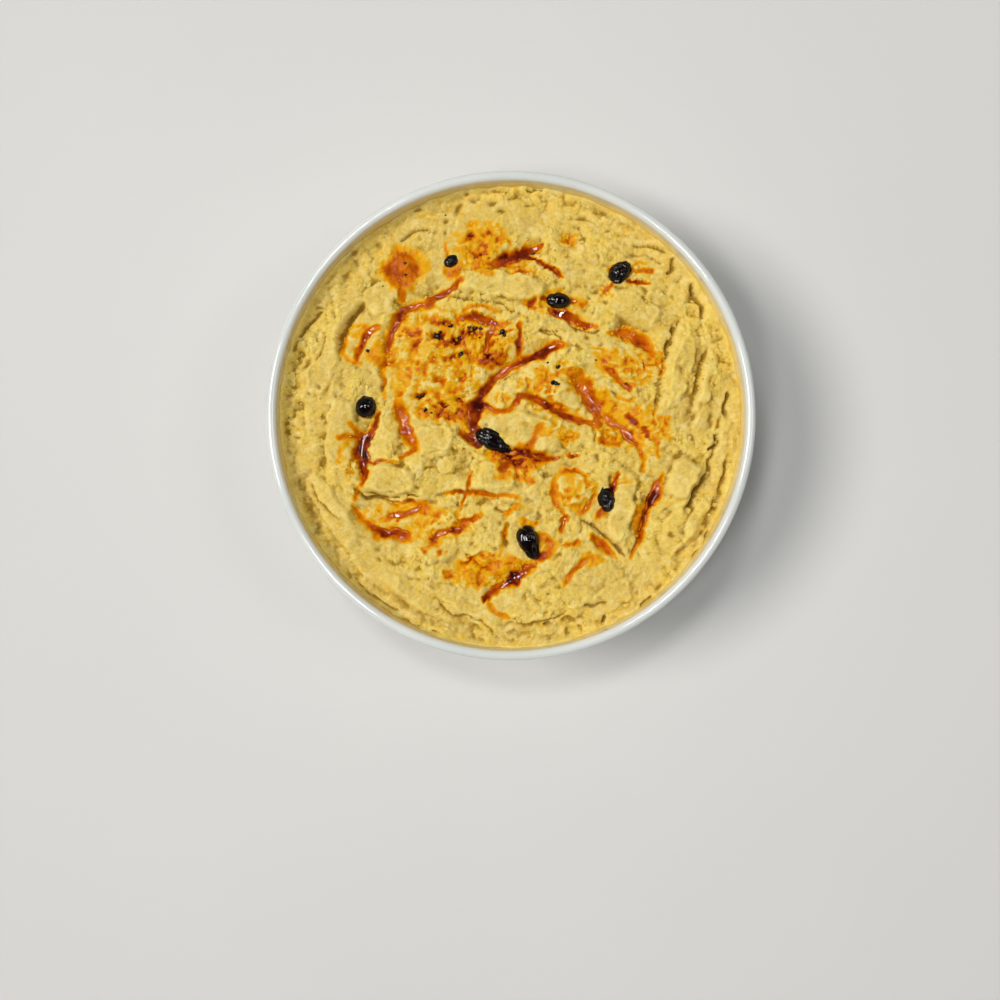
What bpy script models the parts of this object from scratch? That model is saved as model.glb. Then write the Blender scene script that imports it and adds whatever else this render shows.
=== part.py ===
"""Hummus in a white porcelain bowl, with dark wrinkled berries pressed into its top.

Metres, +Z up. The origin is under the middle of the foot ring, on the surface that the bowl stands on.
"""

import math

import bmesh
import bpy
import numpy as np
from mathutils import Matrix, Vector

MM = 0.001

# Bowl
RIM_RADIUS = 0.085
BOWL_HEIGHT = 0.062
WALL = 0.0034
FULLNESS = 2.25  # 2 would make the wall an ellipse, and more makes it squarer
FLARE = 0.06  # how much the wall leans out, as a share of its reach beyond the foot
FOOT_RADIUS = 0.042
FOOT_WIDTH = 0.0055
FOOT_HEIGHT = 0.005
UNDER_HEIGHT = 0.003
ROUND_STEPS = 68
WALL_POINTS = 9

# Hummus
LEVEL = 0.0531
FIT_GAP = 0.0003
TOP_CELLS = 34
SIDE_START = 0.006  # the side follows the wall from this far below the level
EDGE_BLEND = 0.007  # the relief dies away over this distance from the wall
EDGE_DIP = 0.0006
PATH_STEPS = 16
FOLD_SOFTNESS = 1.6  # mm over which a fold's edge rises

# Berries
BERRY_MERIDIANS = 12
BERRY_PARALLELS = 7

LIP_HEIGHT = BOWL_HEIGHT - WALL / 2

# Spoon folds, each a step that is high on the left of its path and fades out with distance from it.
# (start, end, how far the path bows to its left, rise, how far the rise reaches), in mm
FOLDS = {
    "left_plateau": ((-60, 20), (-48, 42), 4.0, 1.7, 9),
    "left_swipe": ((-71, -16), (-55, -40), -3.5, 2.0, 10),
    "wall_trough": ((-77, -20), (-55, -57), -5.0, 2.2, 8),
    "low_trough": ((-56, -56), (-15, -78), -4.5, 2.4, 7),
    "low_fold": ((-47, -53), (-24, -71), -4.0, 1.9, 9),
    "front_fold": ((-28, -59), (-2, -78), -2.5, 2.0, 8),
    "front_scallop": ((-7, -69), (34, -62), -6.5, 1.8, 7),
    "middle_roll": ((-55, -25), (-24, -28), -3.3, 2.1, 9),
    "middle_seam": ((-24, -28), (6, -33), 3.5, 1.4, 8),
    "right_plate": ((61, 36), (52, 0), -2.5, 1.8, 9),
    "far_plate": ((71, 27), (63, -8), -1.5, 1.6, 7),
    "block_side": ((59, -36), (69, -16), -1.0, 2.1, 9),
    "right_band": ((75, -24), (48, -57), 2.2, -1.6, 8),
    "top_swipe": ((14, 75), (56, 54), 4.0, -1.5, 9),
}

# Grooves that the spoon left and that oil lies in: (start, end, bow to the left, depth, half width), in mm
GROOVES = {
    "long_run": ((-13, 2), (20, 27), 5.4, 2.0, 3.4),
    "upper_run": ((-43, 20), (-20, 46), 8.0, 1.7, 3.2),
    "top_run": ((-6, 55), (13, 61), 0.0, 1.9, 3.6),
    "right_run": ((20, 17), (47, -13), -1.0, 2.0, 4.0),
    "cross_run": ((2, 9), (36, -4), 0.0, 1.3, 3.0),
    "left_run": ((-46, 6), (-51, -24), -4.4, 2.0, 3.4),
    "left_scoop": ((-41, 6), (-33, -12), 0.0, 1.7, 3.6),
    "low_run": ((-56, -30), (-34, -44), -3.0, 1.7, 3.4),
    "upper_scoop": ((35, 33), (52, 20), 2.6, 1.9, 4.2),
    "side_run": ((54, -18), (44, -46), 0.0, 1.6, 3.0),
    "small_scoop": ((28, -41), (39, -51), 0.0, 1.5, 3.4),
    "front_run": ((-10, -65), (10, -53), 1.6, 1.6, 3.2),
}

# Broad swells and hollows: (x, y, radius, height), in mm
SWELLS = {
    "bowl_middle": (-4, 2, 34, -1.2),
    "left_crown": (-62, 8, 15, 1.0),
    "top_crown": (-8, 72, 16, 0.8),
    "top_dimple": (21, 63, 5, -2.0),
    "right_crown": (60, 12, 16, 0.9),
    "low_crown": (-58, -34, 12, 0.8),
    "front_crown": (20, -56, 16, 0.9),
    "middle_knob": (8, -2, 9, 1.2),
    "centre_knob": (-30, 14, 10, 1.0),
    "dark_hollow": (-16, -16, 6, -1.6),
    "upper_knob": (4, 44, 9, 1.2),
    "block_top": (61, -24, 7, 1.0),
}

# Berries: (x, y, length, width, height, turn in degrees, pointedness), sizes in mm
BERRIES = {
    "berry_left": (-51.0, 3.5, 8.2, 7.6, 6.2, 60, 0.05),
    "berry_upper": (16.5, 41.0, 8.6, 5.8, 5.2, -6, 0.00),
    "berry_right": (38.7, 51.0, 10.0, 7.2, 6.0, 58, 0.10),
    "berry_middle": (-6.2, -8.4, 14.2, 6.8, 5.8, -32, 0.12),
    "berry_side": (33.8, -29.6, 8.8, 6.6, 5.8, -84, 0.15),
    "berry_front": (6.6, -44.6, 12.6, 7.8, 6.2, -70, 0.22),
    "berry_small": (-20.8, 55.0, 5.8, 4.0, 3.8, 24, 0.10),
}
BERRY_STAND = 0.12  # how far a berry's middle stands above the paste, as a share of its height


def clear_scene():
    for leftover in list(bpy.data.objects):
        bpy.data.objects.remove(leftover, do_unlink=True)


def make_collection(name):
    collection = bpy.data.collections.new(name)
    bpy.context.scene.collection.children.link(collection)
    return collection


def make_material(name, colour, roughness):
    material = bpy.data.materials.new(name)
    material.use_nodes = True
    shader = material.node_tree.nodes["Principled BSDF"]
    shader.inputs["Base Color"].default_value = (*colour, 1.0)
    shader.inputs["Roughness"].default_value = roughness
    shader.inputs["Metallic"].default_value = 0.0
    return material


def outer_wall(count=WALL_POINTS):
    """The bowl's outside from the lip down to the foot, as (radius, height) rows."""
    turn = np.linspace(0.0, math.pi / 2, count)
    across = np.cos(turn).clip(0) ** (2 / FULLNESS)
    down = np.sin(turn) ** (2 / FULLNESS)
    radius = FOOT_RADIUS + (RIM_RADIUS - FOOT_RADIUS) * across * (1 - FLARE * down * 2)
    return np.stack([radius, LIP_HEIGHT - (LIP_HEIGHT - FOOT_HEIGHT) * down], axis=1)


def inner_wall(gap=0.0):
    """The outside moved in by the wall's thickness and a gap, square to the wall, from the lip to the floor."""
    fine = outer_wall(16 * (WALL_POINTS - 1) + 1)
    along = np.gradient(fine, axis=0)
    along /= np.linalg.norm(along, axis=1)[:, None]
    moved = fine + (WALL + gap) * np.stack([along[:, 1], -along[:, 0]], axis=1)
    moved[0] = RIM_RADIUS - WALL - gap, LIP_HEIGHT
    moved[-1, 1] = floor_height() + gap
    return moved[::16]


def paste_radius(height):
    """How far out the paste reaches at a height, just clear of the wall."""
    wall = inner_wall(FIT_GAP)[::-1]
    return np.interp(height, wall[:, 1], wall[:, 0])


def floor_height():
    return FOOT_HEIGHT + WALL


def turned(name, profile, collection):
    """A body turned about Z from a profile at +X that ends on the axis, as a mesh with its Screw applied."""
    mesh = bpy.data.meshes.new(name + "_profile")
    edges = [(i, i + 1) for i in range(len(profile) - 1)]
    mesh.from_pydata([(radius, 0.0, height) for radius, height in profile], edges, [])
    guide = bpy.data.objects.new(name + "_profile", mesh)
    collection.objects.link(guide)
    screw = guide.modifiers.new("Turn", "SCREW")
    screw.steps = screw.render_steps = ROUND_STEPS
    screw.use_merge_vertices = True
    screw.merge_threshold = 1e-6
    graph = bpy.context.evaluated_depsgraph_get()
    body = bpy.data.objects.new(name, bpy.data.meshes.new_from_object(guide.evaluated_get(graph)))
    bpy.data.objects.remove(guide)
    collection.objects.link(body)
    body.data.name = name
    shell = bmesh.new()
    shell.from_mesh(body.data)
    bmesh.ops.remove_doubles(shell, verts=shell.verts, dist=1e-6)
    shell.to_mesh(body.data)
    shell.free()
    return body


def bowl_profile():
    """Inner floor, inner wall, rounded lip, outer wall, foot ring and the recess under the floor."""
    lip_centre = RIM_RADIUS - WALL / 2
    lip_turn = np.radians([150, 120, 90, 60, 30])
    lip = np.stack([lip_centre + WALL / 2 * np.cos(lip_turn), LIP_HEIGHT + WALL / 2 * np.sin(lip_turn)], axis=1)
    ease = 0.0008  # the foot ring's eased edges
    foot = [
        (FOOT_RADIUS - ease, ease),
        (FOOT_RADIUS - 2 * ease, 0.0),
        (FOOT_RADIUS - FOOT_WIDTH + 2 * ease, 0.0),
        (FOOT_RADIUS - FOOT_WIDTH + ease, ease),
        (FOOT_RADIUS - FOOT_WIDTH, UNDER_HEIGHT),
        (0.0, UNDER_HEIGHT),
    ]
    return [(0.0, floor_height()), *inner_wall()[::-1], *lip, *outer_wall(), *foot]


def bowed_path(start, end, bow):
    """Points along a parabola from start to end whose middle lies to the left of the straight line by the bow."""
    start, end = np.array(start) * MM, np.array(end) * MM
    step = (end - start) / np.linalg.norm(end - start)
    along = np.linspace(0, 1, PATH_STEPS + 1)[:, None]
    aside = 4 * bow * MM * along * (1 - along)
    return start + along * (end - start) + aside * np.array([-step[1], step[0]])


def nearest_on_path(x, y, path):
    """For each (x, y): the signed distance to the path, positive on its left, and the share along it."""
    steps = np.diff(path, axis=0)
    lengths = np.linalg.norm(steps, axis=1)
    begun = np.concatenate([[0.0], np.cumsum(lengths)])
    nearest = np.full(x.shape, np.inf)
    signed = np.zeros(x.shape)
    share = np.zeros(x.shape)
    for start, step, length, before in zip(path, steps, lengths, begun):
        dx, dy = x - start[0], y - start[1]
        along = np.clip((dx * step[0] + dy * step[1]) / length**2, 0, 1)
        distance = np.hypot(dx - along * step[0], dy - along * step[1])
        closer = distance < nearest
        side = np.where(step[0] * dy - step[1] * dx >= 0, 1.0, -1.0)
        nearest = np.where(closer, distance, nearest)
        signed = np.where(closer, side * distance, signed)
        share = np.where(closer, (before + along * length) / begun[-1], share)
    return signed, share


def fade_at_ends(share, tail=0.22):
    """1 along a path, falling smoothly to 0 at both of its ends."""
    near = np.clip(np.minimum(share, 1 - share) / tail, 0, 1)
    return near * near * (3 - 2 * near)


def fold_height(x, y, path, rise, reach):
    """A step that is high on the left: it rises over a soft edge, then fades back with distance."""
    signed, share = nearest_on_path(x, y, path)
    edge = np.tanh(signed / (FOLD_SOFTNESS * MM))
    return 0.5 * rise * MM * edge * np.exp(-np.abs(signed) / (reach * MM)) * fade_at_ends(share)


def groove_height(x, y, path, depth, half_width):
    signed, share = nearest_on_path(x, y, path)
    return -depth * MM * np.exp(-((signed / (half_width * MM)) ** 2)) * fade_at_ends(share)


def relief(x, y):
    """How far the paste stands above its level at (x, y), which are arrays in metres."""
    height = np.zeros(x.shape)
    for start, end, bow, rise, reach in FOLDS.values():
        height += fold_height(x, y, bowed_path(start, end, bow), rise, reach)
    for start, end, bow, depth, half_width in GROOVES.values():
        height += groove_height(x, y, bowed_path(start, end, bow), depth, half_width)
    for centre_x, centre_y, radius, swell in SWELLS.values():
        distance = np.hypot(x - centre_x * MM, y - centre_y * MM)
        height += swell * MM * np.exp(-((distance / (radius * MM)) ** 2))
    from_wall = np.clip((paste_radius(LEVEL) - np.hypot(x, y)) / EDGE_BLEND, 0, 1)
    blend = from_wall * from_wall * (3 - 2 * from_wall)
    return height * (0.35 + 0.65 * blend) - EDGE_DIP * (1 - blend)


def spread_to_disc(u, v):
    """Moves a square's points (-1 to 1) to a disc: each square ring becomes a circle, evenly divided."""
    ring = np.maximum(np.abs(u), np.abs(v))
    safe = np.maximum(ring, 1e-9)
    beside = np.abs(v) <= np.abs(u)
    angle = np.where(beside, v / safe, 2 - u / safe) * math.pi / 4
    angle = np.where(beside & (u < 0), math.pi - v / safe * math.pi / 4, angle)
    angle = np.where(~beside & (v < 0), (u / safe - 2) * math.pi / 4, angle)
    return ring * np.cos(angle), ring * np.sin(angle)


def lower_ring(shell, ring, radius, height):
    """Extrudes a ring of edges, then moves the new ring to a radius and a height."""
    grown = bmesh.ops.extrude_edge_only(shell, edges=ring)["geom"]
    for vertex in grown:
        if isinstance(vertex, bmesh.types.BMVert):
            turn = math.atan2(vertex.co.y, vertex.co.x)
            vertex.co = radius * math.cos(turn), radius * math.sin(turn), height
    return [edge for edge in grown if isinstance(edge, bmesh.types.BMEdge)]


def make_hummus(collection):
    """The filling: a grid spread to a disc and lifted by the relief, with sides that follow the wall down."""
    shell = bmesh.new()
    bmesh.ops.create_grid(shell, x_segments=TOP_CELLS, y_segments=TOP_CELLS, size=1.0)
    flat = np.array([vertex.co for vertex in shell.verts])
    x, y = spread_to_disc(flat[:, 0], flat[:, 1])
    height = LEVEL + relief(x * paste_radius(LEVEL), y * paste_radius(LEVEL))
    reach = paste_radius(height)
    for vertex, place in zip(shell.verts, np.stack([x * reach, y * reach, height], axis=1)):
        vertex.co = place
    ring = [edge for edge in shell.edges if edge.is_boundary]
    for radius, level in inner_wall(FIT_GAP):
        if level < LEVEL - SIDE_START:
            ring = lower_ring(shell, ring, radius, level)
    bmesh.ops.contextual_create(shell, geom=ring)
    bmesh.ops.recalc_face_normals(shell, faces=shell.faces)
    mesh = bpy.data.meshes.new("hummus")
    shell.to_mesh(mesh)
    shell.free()
    hummus = bpy.data.objects.new("hummus", mesh)
    collection.objects.link(hummus)
    return hummus


def berry_mesh(name, length, width, height, pointed, wrinkle_phase, swell=0.0):
    """An egg-like dried berry about its own middle, long along X, with shallow folds in its skin."""
    body = bmesh.new()
    bmesh.ops.create_uvsphere(body, u_segments=BERRY_MERIDIANS, v_segments=BERRY_PARALLELS, radius=1.0)
    half = Vector((length, width, height)) * MM / 2
    for vertex in body.verts:
        across, beside, up = vertex.co
        angle = math.atan2(beside, across)
        fold = 1 + 0.05 * math.sin(3 * angle + wrinkle_phase) * (1 - up * up)
        narrowing = 1 - pointed * across
        vertex.co = Vector((across * half.x * fold, beside * half.y * fold * narrowing, up * half.z * narrowing))
        vertex.co += vertex.co.normalized() * swell
    mesh = bpy.data.meshes.new(name)
    body.to_mesh(mesh)
    body.free()
    return mesh


def make_berries(collection, cutters, hummus):
    """Each berry lies sunk in the paste, in a socket cut by a slightly larger copy of itself."""
    berries = []
    for number, (name, (x, y, length, width, height, turn, pointed)) in enumerate(BERRIES.items()):
        centre = Vector((x * MM, y * MM, 0.0))
        centre.z = LEVEL + float(relief(np.array([centre.x]), np.array([centre.y]))[0])
        centre.z += BERRY_STAND * height * MM
        place = Matrix.Translation(centre) @ Matrix.Rotation(math.radians(turn), 4, "Z")
        berry = bpy.data.objects.new(name, berry_mesh(name, length, width, height, pointed, number))
        berry.matrix_world = place
        collection.objects.link(berry)
        berries.append(berry)
        socket_mesh = berry_mesh(name + "_socket", length, width, height, pointed, number, FIT_GAP)
        socket = bpy.data.objects.new(name + "_socket", socket_mesh)
        socket.matrix_world = place
        socket.hide_render = True
        socket.display_type = "WIRE"
        cutters.objects.link(socket)
        cut = hummus.modifiers.new(name + "_socket", "BOOLEAN")
        cut.operation = "DIFFERENCE"
        cut.object = socket
    return berries


def finish(obj, material, sharp_degrees):
    obj.data.materials.clear()
    obj.data.materials.append(material)
    obj.data.shade_smooth()
    obj.data.set_sharp_from_angle(angle=math.radians(sharp_degrees))


def main():
    clear_scene()
    dish = make_collection("hummus_bowl")
    cutters = make_collection("cutters")
    porcelain = make_material("white_porcelain", (0.86, 0.87, 0.85), 0.12)
    paste = make_material("hummus_paste", (0.76, 0.56, 0.18), 0.55)
    dark_skin = make_material("berry_skin", (0.012, 0.006, 0.008), 0.18)
    bowl = turned("bowl", bowl_profile(), dish)
    finish(bowl, porcelain, 40)
    hummus = make_hummus(dish)
    for berry in make_berries(dish, cutters, hummus):
        finish(berry, dark_skin, 60)
    finish(hummus, paste, 50)


main()
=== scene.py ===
import math
import bpy
import numpy as np
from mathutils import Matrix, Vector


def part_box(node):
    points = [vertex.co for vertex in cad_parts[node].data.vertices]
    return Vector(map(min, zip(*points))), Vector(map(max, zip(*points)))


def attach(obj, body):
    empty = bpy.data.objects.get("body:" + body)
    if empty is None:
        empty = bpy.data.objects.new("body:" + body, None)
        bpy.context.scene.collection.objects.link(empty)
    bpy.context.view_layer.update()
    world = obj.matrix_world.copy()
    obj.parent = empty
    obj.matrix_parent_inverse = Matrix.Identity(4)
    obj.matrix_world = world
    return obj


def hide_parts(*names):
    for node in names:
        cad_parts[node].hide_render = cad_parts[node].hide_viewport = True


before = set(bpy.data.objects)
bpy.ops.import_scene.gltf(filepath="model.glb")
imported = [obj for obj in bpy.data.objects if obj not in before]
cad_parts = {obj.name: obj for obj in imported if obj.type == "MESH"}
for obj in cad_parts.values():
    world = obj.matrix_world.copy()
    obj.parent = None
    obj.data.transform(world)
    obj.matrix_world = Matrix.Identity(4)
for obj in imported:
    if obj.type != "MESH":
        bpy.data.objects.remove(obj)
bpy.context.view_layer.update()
mm = 0.001


def latticeValue(ix, iy, seed):  # a steady random number from 0 to 1 for each whole-number corner
    n = ix.astype(np.uint32) * np.uint32(374761393) + iy.astype(np.uint32) * np.uint32(668265263)
    n = n + np.uint32((seed * 974634777) % 4294967296)
    n = (n ^ (n >> np.uint32(13))) * np.uint32(1274126177)
    n = n ^ (n >> np.uint32(16))
    return n.astype(float) / 4294967296.0


def corners(value, cell):  # the whole cell below each value, and an S curve of the part left over
    whole = np.floor(value / cell)
    part = value / cell - whole
    return whole.astype(np.int64), part * part * part * (part * (part * 6 - 15) + 10)


def softNoise(x, y, cell, seed):  # corner values blended smoothly inside each cell, from -1 to 1
    ix, fx = corners(x, cell)
    iy, fy = corners(y, cell)
    low = latticeValue(ix, iy, seed) * (1 - fx) + latticeValue(ix + 1, iy, seed) * fx
    high = latticeValue(ix, iy + 1, seed) * (1 - fx) + latticeValue(ix + 1, iy + 1, seed) * fx
    return (low * (1 - fy) + high * fy) * 2 - 1


def ringNoise(x, y, along, across, seed):  # noise stretched round the bowl: along mm round, across mm out
    steps = int(round(2 * math.pi * 60 / along))
    ix, fx = corners(np.arctan2(y, x) / (2 * math.pi) * steps, 1.0)
    iy, fy = corners(np.hypot(x, y), across)
    left, right = ix % steps, (ix + 1) % steps
    low = latticeValue(left, iy, seed) * (1 - fx) + latticeValue(right, iy, seed) * fx
    high = latticeValue(left, iy + 1, seed) * (1 - fx) + latticeValue(right, iy + 1, seed) * fx
    return (low * (1 - fy) + high * fy) * 2 - 1


def layeredNoise(x, y, cell, seed, layers=3, gain=0.5):  # softNoise at halved cells, turned and added up
    total, strength, strengths = np.zeros_like(x), 1.0, 0.0
    for layer in range(layers):
        total += strength * softNoise(x + 17.3 * layer, y - 9.1 * layer, cell, seed + layer)
        strengths += strength
        strength, cell = strength * gain, cell / 2
        x, y = 0.8 * x - 0.6 * y, 0.6 * x + 0.8 * y
    return total / strengths ** 0.75


def ringLayers(x, y, along, across, seed, layers=4, gain=0.6):  # the same stretched round the bowl
    total, strength, strengths = np.zeros_like(x), 1.0, 0.0
    for layer in range(layers):
        total += strength * ringNoise(x, y, along, across, seed + layer)
        strengths += strength
        strength, along, across = strength * gain, along / 2, across / 2
    return total / strengths ** 0.75


def solidNoise(x, y, z, cell, seed):  # the same in three directions, blending two flat layers
    iz, fz = corners(z, cell)
    low = latticeLayer(x, y, iz, cell, seed)
    high = latticeLayer(x, y, iz + 1, cell, seed)
    return (low * (1 - fz) + high * fz) * 2 - 1


def latticeLayer(x, y, iz, cell, seed):  # one flat layer of corner values, blended inside each cell
    ix, fx = corners(x, cell)
    iy, fy = corners(y, cell)
    kx = ix + iz * 7919
    low = latticeValue(kx, iy, seed) * (1 - fx) + latticeValue(kx + 1, iy, seed) * fx
    high = latticeValue(kx, iy + 1, seed) * (1 - fx) + latticeValue(kx + 1, iy + 1, seed) * fx
    return low * (1 - fy) + high * fy


def lumps(x, y, cell, seed):  # the highest of the round domes that stand at jittered places, from 0 to 1
    cx, cy = np.floor(x / cell).astype(np.int64), np.floor(y / cell).astype(np.int64)
    top = np.zeros_like(x)
    for ox in (-1, 0, 1):
        for oy in (-1, 0, 1):
            kx, ky = cx + ox, cy + oy
            px = (kx + 0.1 + 0.8 * latticeValue(kx, ky, seed)) * cell
            py = (ky + 0.1 + 0.8 * latticeValue(kx, ky, seed + 1)) * cell
            radius = cell * (0.45 + 0.45 * latticeValue(kx, ky, seed + 2))
            dome = 1 - ((x - px) ** 2 + (y - py) ** 2) / radius**2
            top = np.maximum(top, (0.5 + 0.5 * latticeValue(kx, ky, seed + 3)) * dome)
    return np.sqrt(top)


def ease(value):  # 0 below 0, 1 above 1, and a smooth S between
    value = np.clip(value, 0, 1)
    return value * value * (3 - 2 * value)


def smoothPath(points, spans=6):  # a Catmull-Rom curve through the points
    knots = np.array(points, float)
    knots = np.vstack([2 * knots[0] - knots[1], knots, 2 * knots[-1] - knots[-2]])
    step = np.arange(spans)[:, None] / spans
    pieces = []
    for a, b, c, d in zip(knots[:-3], knots[1:-2], knots[2:-1], knots[3:]):
        bend = (2 * a - 5 * b + 4 * c - d) * step**2 + (3 * b - a - 3 * c + d) * step**3
        pieces.append(0.5 * (2 * b + (c - a) * step + bend))
    return np.vstack([*pieces, knots[-2:-1]])


def alongPath(x, y, points, reach):  # near places, their distance (positive on the left) and share along
    path = smoothPath(points)
    low, high = path.min(0) - reach, path.max(0) + reach
    near = np.flatnonzero((x > low[0]) & (x < high[0]) & (y > low[1]) & (y < high[1]))
    xs, ys = x[near], y[near]
    steps = np.diff(path, axis=0)
    lengths = np.linalg.norm(steps, axis=1)
    begun = np.concatenate([[0.0], np.cumsum(lengths)])
    closest = np.full(xs.shape, 1e9)
    signed, share = np.zeros(xs.shape), np.zeros(xs.shape)
    for start, step, length, before in zip(path, steps, lengths, begun):
        dx, dy = xs - start[0], ys - start[1]
        part = np.clip((dx * step[0] + dy * step[1]) / length**2, 0, 1)
        distance = np.hypot(dx - part * step[0], dy - part * step[1])
        closer = distance < closest
        side = np.where(step[0] * dy - step[1] * dx >= 0, 1.0, -1.0)
        closest = np.where(closer, distance, closest)
        signed = np.where(closer, side * distance, signed)
        share = np.where(closer, (before + part * length) / begun[-1], share)
    return near, signed, share


def fadeEnds(share, tail=0.2):  # 0 at both ends of a path and 1 between, over the tails
    return ease(np.minimum(share, 1 - share) / tail)


def widthAlong(widths, share):  # one width, or several spread evenly along the path
    widths = np.atleast_1d(widths)
    return np.interp(share, np.linspace(0, 1, len(widths)), widths)


def bowedPath(start, end, bow):  # a parabola whose middle lies to the left of the straight line by the bow
    start, end = np.array(start, float), np.array(end, float)
    step = (end - start) / np.linalg.norm(end - start)
    along = np.linspace(0, 1, 6)[:, None]
    return start + along * (end - start) + 4 * bow * along * (1 - along) * np.array([-step[1], step[0]])


def newPiece(name, points, faceSets, material, values=None):  # points in mm, faces as arrays
    mesh = bpy.data.meshes.new(name)
    faces = [face for faceSet in faceSets for face in faceSet.tolist()]
    mesh.from_pydata((points * mm).tolist(), [], faces)
    mesh.polygons.foreach_set("use_smooth", np.ones(len(faces), bool))
    for key, value in (values or {}).items():
        mesh.attributes.new(key, "FLOAT", "POINT").data.foreach_set("value", value.astype(np.float32))
    mesh.materials.append(material)
    piece = bpy.data.objects.new(name, mesh)
    bpy.context.scene.collection.objects.link(piece)
    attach(piece, "root")
    print(name, "made:", len(faces), "faces")
    return piece


def gridQuads(index):  # the four corners of each cell of a grid of point numbers
    return np.stack([index[:-1, :-1], index[:-1, 1:], index[1:, 1:], index[1:, :-1]], 2)


class Recipe:  # a material's nodes, added from left to right
    def __init__(self, name):
        self.material = bpy.data.materials.new(name)
        self.material.use_nodes = True
        self.nodes = self.material.node_tree.nodes
        self.links = self.material.node_tree.links
        self.shader = self.nodes["Principled BSDF"]

    def put(self, socket, value):
        if isinstance(value, bpy.types.NodeSocket):
            self.links.new(value, socket)
        elif socket.type == "RGBA":
            socket.default_value = (*value[:3], 1.0)
        else:
            socket.default_value = value

    def place(self):
        return self.nodes.new("ShaderNodeTexCoord").outputs["Object"]

    def value(self, name):
        node = self.nodes.new("ShaderNodeAttribute")
        node.attribute_name = name
        return node.outputs["Fac"]

    def noise(self, size, detail=3.0, roughness=0.55, stretch=(1, 1, 1)):
        mapping = self.nodes.new("ShaderNodeMapping")
        mapping.inputs["Scale"].default_value = stretch
        self.put(mapping.inputs["Vector"], self.place())
        node = self.nodes.new("ShaderNodeTexNoise")
        node.inputs["Scale"].default_value = 1 / size
        node.inputs["Detail"].default_value = detail
        node.inputs["Roughness"].default_value = roughness
        self.put(node.inputs["Vector"], mapping.outputs["Vector"])
        return node.outputs["Fac"]

    def cells(self, size):
        node = self.nodes.new("ShaderNodeTexVoronoi")
        node.inputs["Scale"].default_value = 1 / size
        self.put(node.inputs["Vector"], self.place())
        return node.outputs["Distance"]

    def maths(self, kind, *values):
        node = self.nodes.new("ShaderNodeMath")
        node.operation = kind
        for socket, value in zip(node.inputs, values):
            self.put(socket, value)
        return node.outputs[0]

    def span(self, value, low, high, outLow=0.0, outHigh=1.0):  # value from low..high to outLow..outHigh
        node = self.nodes.new("ShaderNodeMapRange")
        for socket, number in zip(node.inputs[1:5], (low, high, outLow, outHigh)):
            socket.default_value = number
        self.put(node.inputs[0], value)
        return node.outputs[0]

    def mix(self, share, a, b):
        node = self.nodes.new("ShaderNodeMix")
        node.data_type = "RGBA"
        self.put(node.inputs[0], share)
        self.put(node.inputs[6], a)
        self.put(node.inputs[7], b)
        return node.outputs[2]

    def ramp(self, value, stops):
        node = self.nodes.new("ShaderNodeValToRGB")
        band = node.color_ramp
        while len(band.elements) < len(stops):
            band.elements.new(0.5)
        for element, (position, colour) in zip(band.elements, stops):
            element.position = position
            element.color = (*colour, 1.0)
        self.put(node.inputs[0], value)
        return node.outputs[0]

    def bump(self, height, distance, strength=1.0, under=None):
        node = self.nodes.new("ShaderNodeBump")
        node.inputs["Distance"].default_value = distance
        node.inputs["Strength"].default_value = strength
        self.put(node.inputs["Height"], height)
        if under is not None:
            self.put(node.inputs["Normal"], under)
        return node.outputs[0]

    def finish(self, **sockets):
        for name, value in sockets.items():
            self.put(self.shader.inputs[name.replace("_", " ")], value)
        return self.material


def colour(code):  # a hex colour as linear values
    parts = np.array([int(code[i : i + 2], 16) for i in (0, 2, 4)]) / 255
    return tuple(np.where(parts <= 0.04045, parts / 12.92, ((parts + 0.055) / 1.055) ** 2.4).tolist())


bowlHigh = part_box("bowl")[1]
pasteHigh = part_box("hummus")[1]

bowlShape = {
    "rim": bowlHigh.x / mm,  # rim radius
    "height": bowlHigh.z / mm,
    "wall": 3.4,
    "fullness": 2.25,
    "flare": 0.06,
    "foot": 42.0,
    "footWidth": 5.5,
    "footHeight": 5.0,
    "recess": 3.0,
    "roundSteps": 256,
    "insideRadius": (0.0823, 0.0818),  # m, where the inside begins
    "smearLow": (0.0490, 0.0505),  # m, under which the wall is clean
}
lipHeight = bowlShape["height"] - bowlShape["wall"] / 2


def outerWall(count):  # superellipse quarter from lip to foot, drawn in by the flare as it goes down
    turn = np.linspace(0, math.pi / 2, count)
    across = np.cos(turn).clip(0) ** (2 / bowlShape["fullness"])
    down = np.sin(turn) ** (2 / bowlShape["fullness"])
    reach = (bowlShape["rim"] - bowlShape["foot"]) * across * (1 - bowlShape["flare"] * down * 2)
    return np.stack([bowlShape["foot"] + reach, lipHeight - (lipHeight - bowlShape["footHeight"]) * down], 1)


def innerWall(count=400):  # the outer wall moved in by the wall's thickness, square to itself
    fine = outerWall(count)
    along = np.gradient(fine, axis=0)
    along /= np.linalg.norm(along, axis=1)[:, None]
    moved = fine + bowlShape["wall"] * np.stack([along[:, 1], -along[:, 0]], 1)
    moved[0] = bowlShape["rim"] - bowlShape["wall"], lipHeight
    moved[-1, 1] = bowlShape["footHeight"] + bowlShape["wall"]
    return moved


def wallRadius(height):  # inner radius of the bowl at a height, in mm
    wall = innerWall()[::-1]
    return np.interp(height, wall[:, 1], wall[:, 0])


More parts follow.
